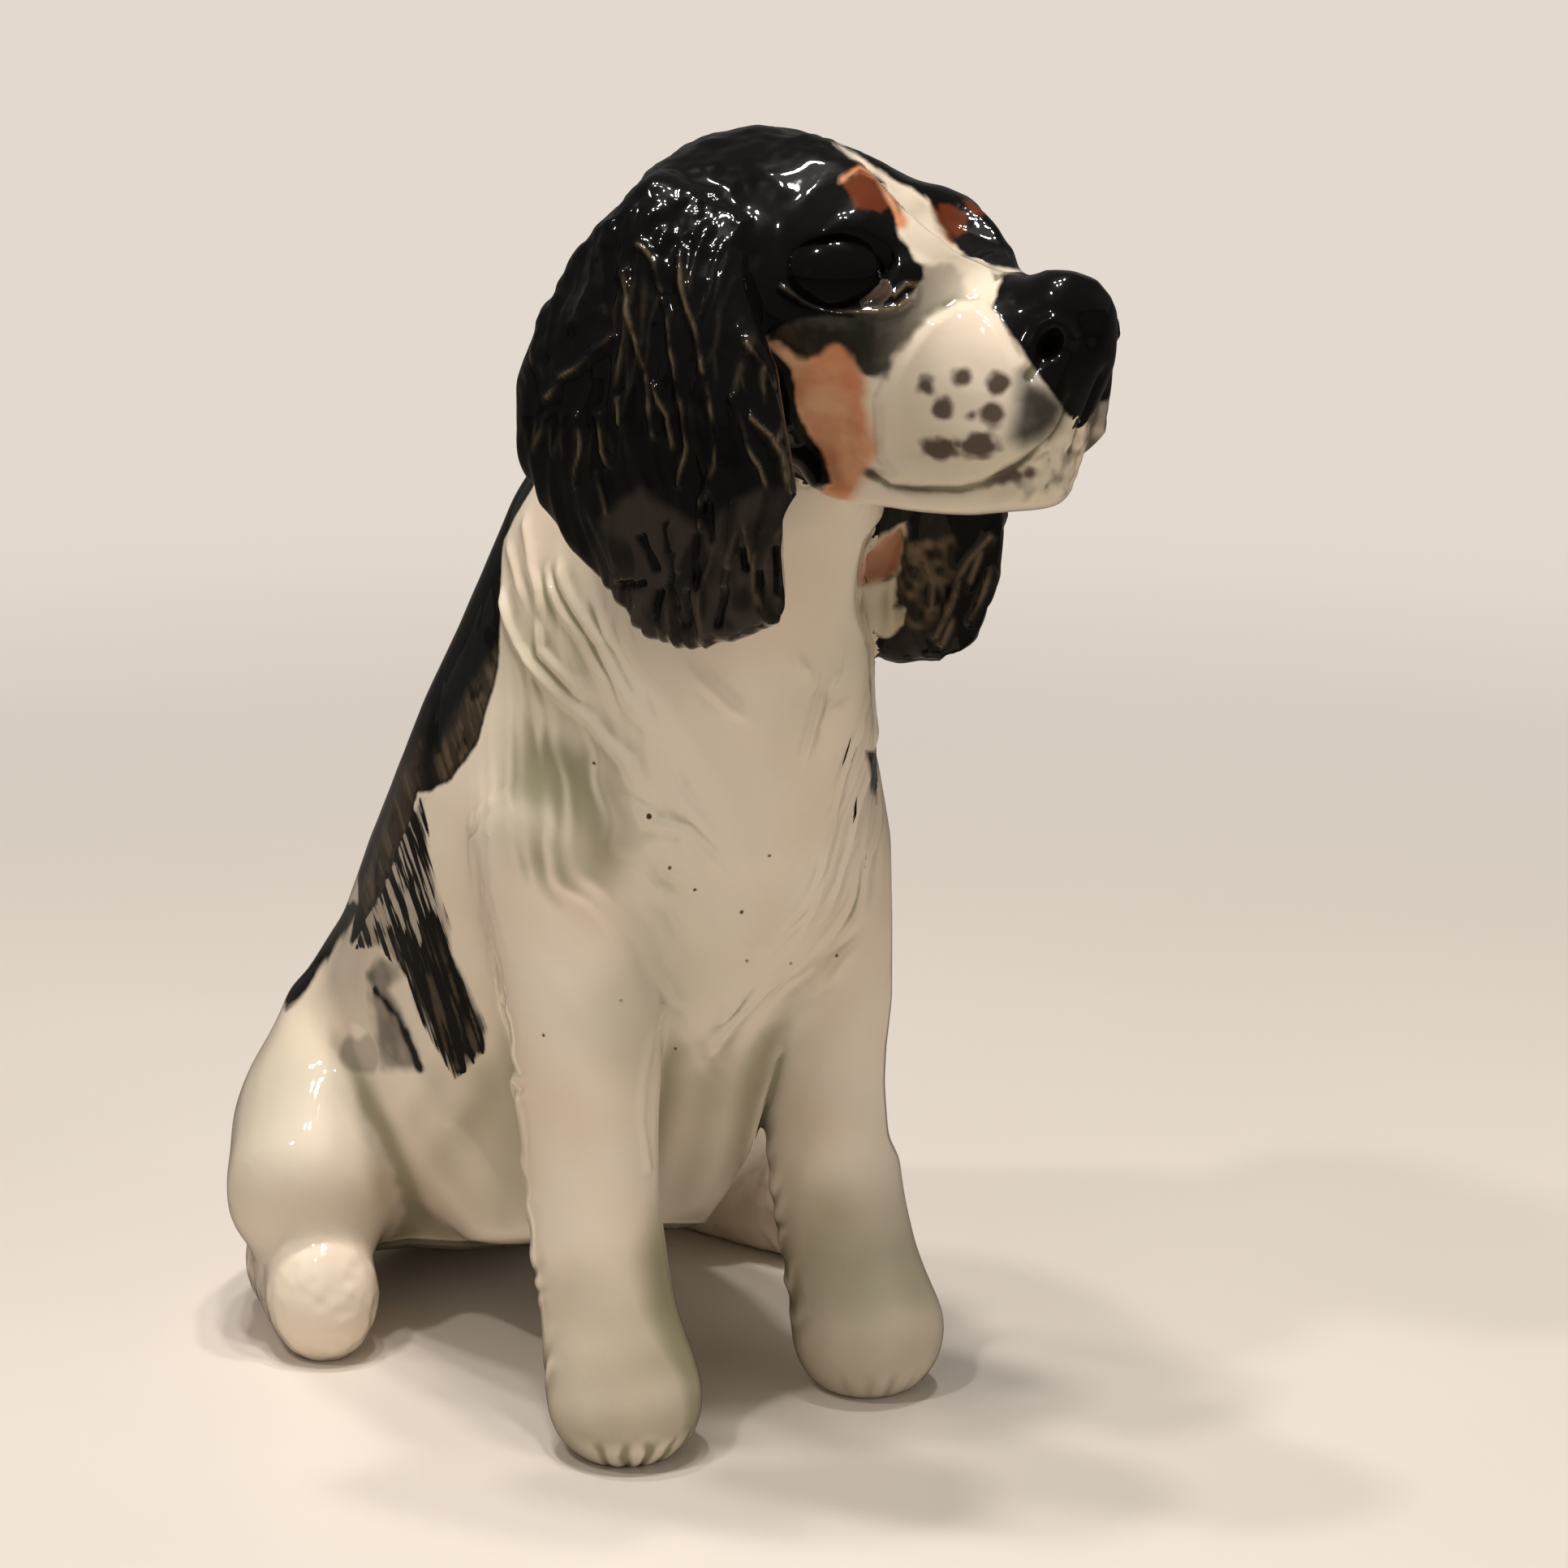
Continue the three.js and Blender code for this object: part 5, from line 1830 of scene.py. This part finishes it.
@dataclass
class Figure:
    """The whole dog: its clay, carved, painted and parted into pieces."""

    join: ClayJoin = field(default_factory=ClayJoin)
    coat: Coat = field(default_factory=Coat)
    legs: Legs = field(default_factory=Legs)
    face: Face = field(default_factory=Face)
    ears: Ears = field(default_factory=Ears)
    # Heights where neck and barrel start, and how far back the belly goes before the rump.
    neck_from: float = 54.0
    barrel_from: float = 33.0
    rump_from: float = 30.0

    def model(self) -> Clay:
        """Presses, carves and paints the clay.

        Returns:
            The finished clay.
        """
        clay = self.join.press()
        LOG.info("clay pressed, %d points", len(clay.points))
        clay.push(0.2 * drift(clay.points, 9.0, 3) + 0.06 * drift(clay.points, 3.5, 4))
        for maker in (self.coat, self.legs, self.face, self.ears):
            maker.sculpt(clay)
            clay.find_normals()
        clay.points[:, 2] = np.maximum(clay.points[:, 2], 0.0)
        near = clay.relax(clay.points, 14, MIX)
        wide = clay.relax(near, 60, MIX)
        hollow = np.einsum("ij,ij->i", near - clay.points, clay.normals)
        broad = np.einsum("ij,ij->i", wide - clay.points, clay.normals)
        clay.marks["hollow"] = hollow + 0.5 * broad
        for painter in (self.coat, self.face, self.ears):
            painter.paint(clay)
        return clay

    def sort(self, clay: Clay) -> tuple[Array, dict[int, Piece]]:
        """Names the piece that each point goes to.

        Args:
            clay: the finished clay.

        Returns:
            A number for each point, and the piece of each number.
        """
        pieces = {}
        for part in PARTS:
            slot = Slot.BLACK if part in EARS else Slot.CREAM
            pieces[ORDER[part]] = Piece(part.value + "_form", slot, (part.value,))
        pieces[ORDER[Part.SKULL]] = Piece("head", Slot.BLACK, ("skull", "right_eyelid", "left_eyelid"))
        pieces[ORDER[Part.NOSE]] = Piece("nose_leather", Slot.BLACK, ("nose",))
        shares = [clay.relax((clay.part == index).astype(float), 8, MIX) for index in range(len(PARTS))]
        number = np.stack(shares).argmax(axis=0)
        trunk = number == ORDER[Part.TRUNK]
        barrel, neck, belly = range(len(PARTS), len(PARTS) + 3)
        number[trunk & (clay.points[:, 1] < self.rump_from)] = belly
        number[trunk & (clay.points[:, 2] > self.barrel_from)] = barrel
        number[trunk & (clay.points[:, 2] > self.neck_from)] = neck
        forms = {ORDER[Part.TRUNK]: "rump", barrel: "barrel", neck: "neck", belly: "belly"}
        for index, name in forms.items():
            pieces[index] = Piece(name, Slot.CREAM, ("trunk",))
        return number, pieces

    def part_out(self, clay: Clay, glaze: bpy.types.Material) -> list[bpy.types.Object]:
        """Parts the clay into closed pieces.

        Args:
            clay: the finished clay.
            glaze: material of the pieces.

        Returns:
            The pieces.
        """
        number, pieces = self.sort(clay)
        whole = add_object("clay", bpy.data.meshes.new("clay"))
        self.join.write(whole, clay)
        mesh = whole.data
        for mark in Marks:
            layer = mesh.attributes.new(mark.value, "FLOAT", "POINT")
            layer.data.foreach_set("value", clay.marks[mark.value].astype(np.float32))
        facing = mesh.attributes.new("facing", "FLOAT_VECTOR", "POINT")
        facing.data.foreach_set("vector", clay.normals.astype(np.float32).ravel())
        for index in sorted(pieces):
            mesh.materials.append(bpy.data.materials.new(f"part_{index}"))
        owner = number[clay.faces].min(axis=1)
        mesh.polygons.foreach_set("material_index", owner.astype(np.int32))
        bpy.ops.object.select_all(action="DESELECT")
        bpy.context.view_layer.objects.active = whole
        whole.select_set(True)
        bpy.ops.object.mode_set(mode="EDIT")
        bpy.ops.mesh.select_all(action="SELECT")
        bpy.ops.mesh.separate(type="MATERIAL")
        bpy.ops.object.mode_set(mode="OBJECT")
        made = []
        for piece in list(bpy.context.selected_objects):
            index = int(piece.data.materials[0].name.split("_")[1])
            told = pieces[index]
            self.close(piece, told.name, glaze)
            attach(piece, "root")
            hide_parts(*told.solids)
            made.append(piece)
        return made

    @staticmethod
    def close(piece: bpy.types.Object, name: str, glaze: bpy.types.Material) -> None:
        """Closes a piece where it was parted from its neighbours and gives it its glaze.

        Args:
            piece: the piece.
            name: its name.
            glaze: its material.
        """
        mesh = piece.data
        shape = bmesh.new()
        shape.from_mesh(mesh)
        rims = [edge for edge in shape.edges if edge.is_boundary]
        caps = bmesh.ops.holes_fill(shape, edges=rims, sides=0)["faces"]
        bmesh.ops.poke(shape, faces=caps, offset=0.0)
        left = sum(edge.is_boundary for edge in shape.edges)
        shape.to_mesh(mesh)
        shape.free()
        piece.name = name
        mesh.name = name
        mesh.materials.clear()
        mesh.materials.append(glaze)
        mesh.polygons.foreach_set("material_index", np.zeros(len(mesh.polygons), np.int32))
        mesh.polygons.foreach_set("use_smooth", np.ones(len(mesh.polygons), bool))
        facing = np.empty(len(mesh.vertices) * 3, np.float32)
        mesh.attributes["facing"].data.foreach_get("vector", facing)
        mesh.normals_split_custom_set_from_vertices(facing.reshape(-1, 3))
        mesh.attributes.remove(mesh.attributes["facing"])
        mesh.update()
        LOG.info("%s: %d faces, %d open edges", name, len(mesh.polygons), left)


@dataclass
class Eyes:
    """The two dark eyes, low domes in their sockets."""

    # Half sizes towards the nose, outward and up, and how far outward of its solid's the middle lies.
    half: tuple[float, float, float] = (3.7, 2.3, 3.05)
    outset: float = 2.25
    # Faces round the dome and from its top to its foot.
    facets: tuple[int, int] = (72, 36)
    face: Face = field(default_factory=Face)

    def build(self, glaze: bpy.types.Material) -> list[bpy.types.Object]:
        """Makes the eyes in the places of their solids.

        Args:
            glaze: their material.

        Returns:
            The two pieces.
        """
        made = []
        tilt = self.face.eye_tilt
        ahead, rise = self.face.eye_shift
        above = np.array((0.0, 0.0, 1.0))
        for name, hand in zip(("right_eye", "left_eye"), HANDS):
            low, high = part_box(name)
            outward, inward = self.face.eye_axes(hand)
            axis = outward - tilt[0] * inward - tilt[1] * above
            axis /= np.linalg.norm(axis)
            across = inward - (inward @ axis) * axis
            across /= np.linalg.norm(across)
            upward = np.cross(axis, across) * hand
            turned = HEAD_POSE @ np.stack((across, axis, upward), axis=1) * np.array(self.half) * MM
            shape = bmesh.new()
            round_count, tall_count = self.facets
            bmesh.ops.create_uvsphere(shape, u_segments=round_count, v_segments=tall_count, radius=1.0)
            bmesh.ops.transform(shape, matrix=Matrix(turned.tolist()).to_4x4(), verts=shape.verts)
            deep = self.outset + ahead * tilt[0] + rise * tilt[1]
            move = outward * deep + inward * ahead + above * rise
            middle = (low + high) / 2.0 + Vector(HEAD_POSE @ move * MM)
            bmesh.ops.translate(shape, verts=shape.verts, vec=middle)
            bmesh.ops.recalc_face_normals(shape, faces=shape.faces)
            mesh = bpy.data.meshes.new(name + "_dome")
            shape.to_mesh(mesh)
            shape.free()
            mesh.polygons.foreach_set("use_smooth", np.ones(len(mesh.polygons), bool))
            mesh.materials.append(glaze)
            piece = add_object(name + "_dome", mesh)
            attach(piece, "root")
            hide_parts(name)
            made.append(piece)
        return made


@dataclass(frozen=True)
class Lamp:
    """One square lamp that faces the figure, in metres and watts."""

    name: str
    spot: tuple[float, float, float]
    size: float
    power: float
    # True if the glaze shows its reflection.
    mirrored: bool


@dataclass
class Studio:
    """The pale floor, the lamps and the camera."""

    sight: Sight = SIGHT
    tone: tuple[float, float, float] = (1.0, 0.97, 0.93)
    # Left and back of the small lamps overhead, with their height, size and power.
    overhead: Line = ((-0.12, -0.07), (-0.05, -0.12), (0.0, 0.0), (-0.08, 0.05), (0.07, -0.05))
    overhead_height: float = 0.6
    overhead_size: float = 0.03
    overhead_power: float = 0.64
    lamps: tuple[Lamp, ...] = (
        Lamp("left_key", (-0.3, -0.05, 0.5), 0.03, 0.55, True),
        Lamp("left_soft", (-0.6, -0.4, 0.4), 0.5, 0.6, False),
        Lamp("right_soft", (0.35, -0.7, 0.22), 0.5, 1.1, False),
    )
    pale: Colour = linear(232, 222, 212)
    paler: Colour = linear(235, 225, 215)
    # Tone of the floor as the glaze mirrors it.
    mirrored_floor: Colour = linear(84, 78, 72)
    floor_half: float = 3.0
    floor_rough: float = 0.4
    # Strength of the pale ground far from the figure, and the metres over which it takes over.
    glow: float = 0.95
    glow_span: Span = (0.11, 0.32)
    sky: Colour = linear(214, 212, 206)
    sky_strength: float = 0.13

    def build(self) -> None:
        """Sets the floor, the lamps, the world and the camera."""
        self.target = Vector((np.array(self.sight.target) + FIGURE_SHIFT) * MM)
        self.floor()
        for index, (left, back) in enumerate(self.overhead):
            spot = (left, back, self.overhead_height)
            self.hang(Lamp(f"overhead_{index}", spot, self.overhead_size, self.overhead_power, True))
        for lamp in self.lamps:
            self.hang(lamp)
        self.world()
        self.camera()

    def floor(self) -> None:
        """Lays a wide pale floor that stays pale far from the figure and shows darker in the glaze."""
        shape = bmesh.new()
        bmesh.ops.create_grid(shape, x_segments=1, y_segments=1, size=self.floor_half)
        mesh = bpy.data.meshes.new("floor")
        shape.to_mesh(mesh)
        shape.free()
        made = bpy.data.materials.new("pale_floor")
        made.use_nodes = True
        shade = Shade(made.node_tree)
        cloudy = shade.ramp(shade.noise(shade.place(), 14.0, 2.0), 0.3, 0.7)
        rays = shade.node("ShaderNodeLightPath", {}).outputs
        tone = shade.blend(cloudy, self.pale, self.paler)
        tone = shade.blend(rays["Is Glossy Ray"], tone, self.mirrored_floor)
        matt = shade.node("ShaderNodeBsdfPrincipled", {"Base Color": tone, "Roughness": self.floor_rough})
        glow = shade.node("ShaderNodeEmission", {"Color": self.pale, "Strength": self.glow})
        length = shade.node("ShaderNodeVectorMath", {0: shade.place()}, operation="LENGTH")
        far = shade.ramp(length.outputs["Value"], *self.glow_span)
        far = shade.times(far, rays["Is Camera Ray"])
        mix = shade.node("ShaderNodeMixShader", {0: far, 1: matt.outputs[0], 2: glow.outputs[0]})
        shade.finish(mix.outputs[0])
        mesh.materials.append(made)
        add_object("floor", mesh)

    def hang(self, lamp: Lamp) -> None:
        """Hangs one lamp.

        Args:
            lamp: its place, size and power.
        """
        data = bpy.data.lights.new(lamp.name, "AREA")
        data.size = lamp.size
        data.energy = lamp.power
        data.color = self.tone
        hung = add_object(lamp.name, data)
        hung.location = lamp.spot
        hung.rotation_euler = (self.target - Vector(lamp.spot)).to_track_quat("-Z", "Y").to_euler()
        hung.visible_glossy = lamp.mirrored

    def world(self) -> None:
        """Fills the room with a soft pale light."""
        world = bpy.data.worlds.new("room")
        bpy.context.scene.world = world
        world.use_nodes = True
        sky = world.node_tree.nodes["Background"]
        sky.inputs["Color"].default_value = self.sky
        sky.inputs["Strength"].default_value = self.sky_strength

    def camera(self) -> None:
        """Sets the camera at the photograph's angle."""
        data = bpy.data.cameras.new("camera")
        data.angle = self.sight.field_angle
        data.clip_start = 0.01
        camera = add_object("camera", data)
        away = Vector(self.sight.away())
        camera.location = self.target + away * (self.sight.distance * MM)
        camera.rotation_euler = (-away).to_track_quat("-Z", "Y").to_euler()
        bpy.context.scene.camera = camera
        bpy.context.scene.view_settings.view_transform = "Standard"


def main() -> None:
    """Builds the figurine and its studio."""
    logging.basicConfig(level=logging.INFO, format="%(name)s: %(message)s")
    glazes = Glazes(Ware())
    figure = Figure()
    pieces = figure.part_out(figure.model(), glazes.painted())
    pieces += Eyes().build(glazes.gloss("eye_glaze", linear(9, 8, 8), linear(30, 19, 14)))
    Studio().build()
    for piece in pieces:
        LOG.info("piece %s", piece.name)


if __name__ == "__main__":
    main()
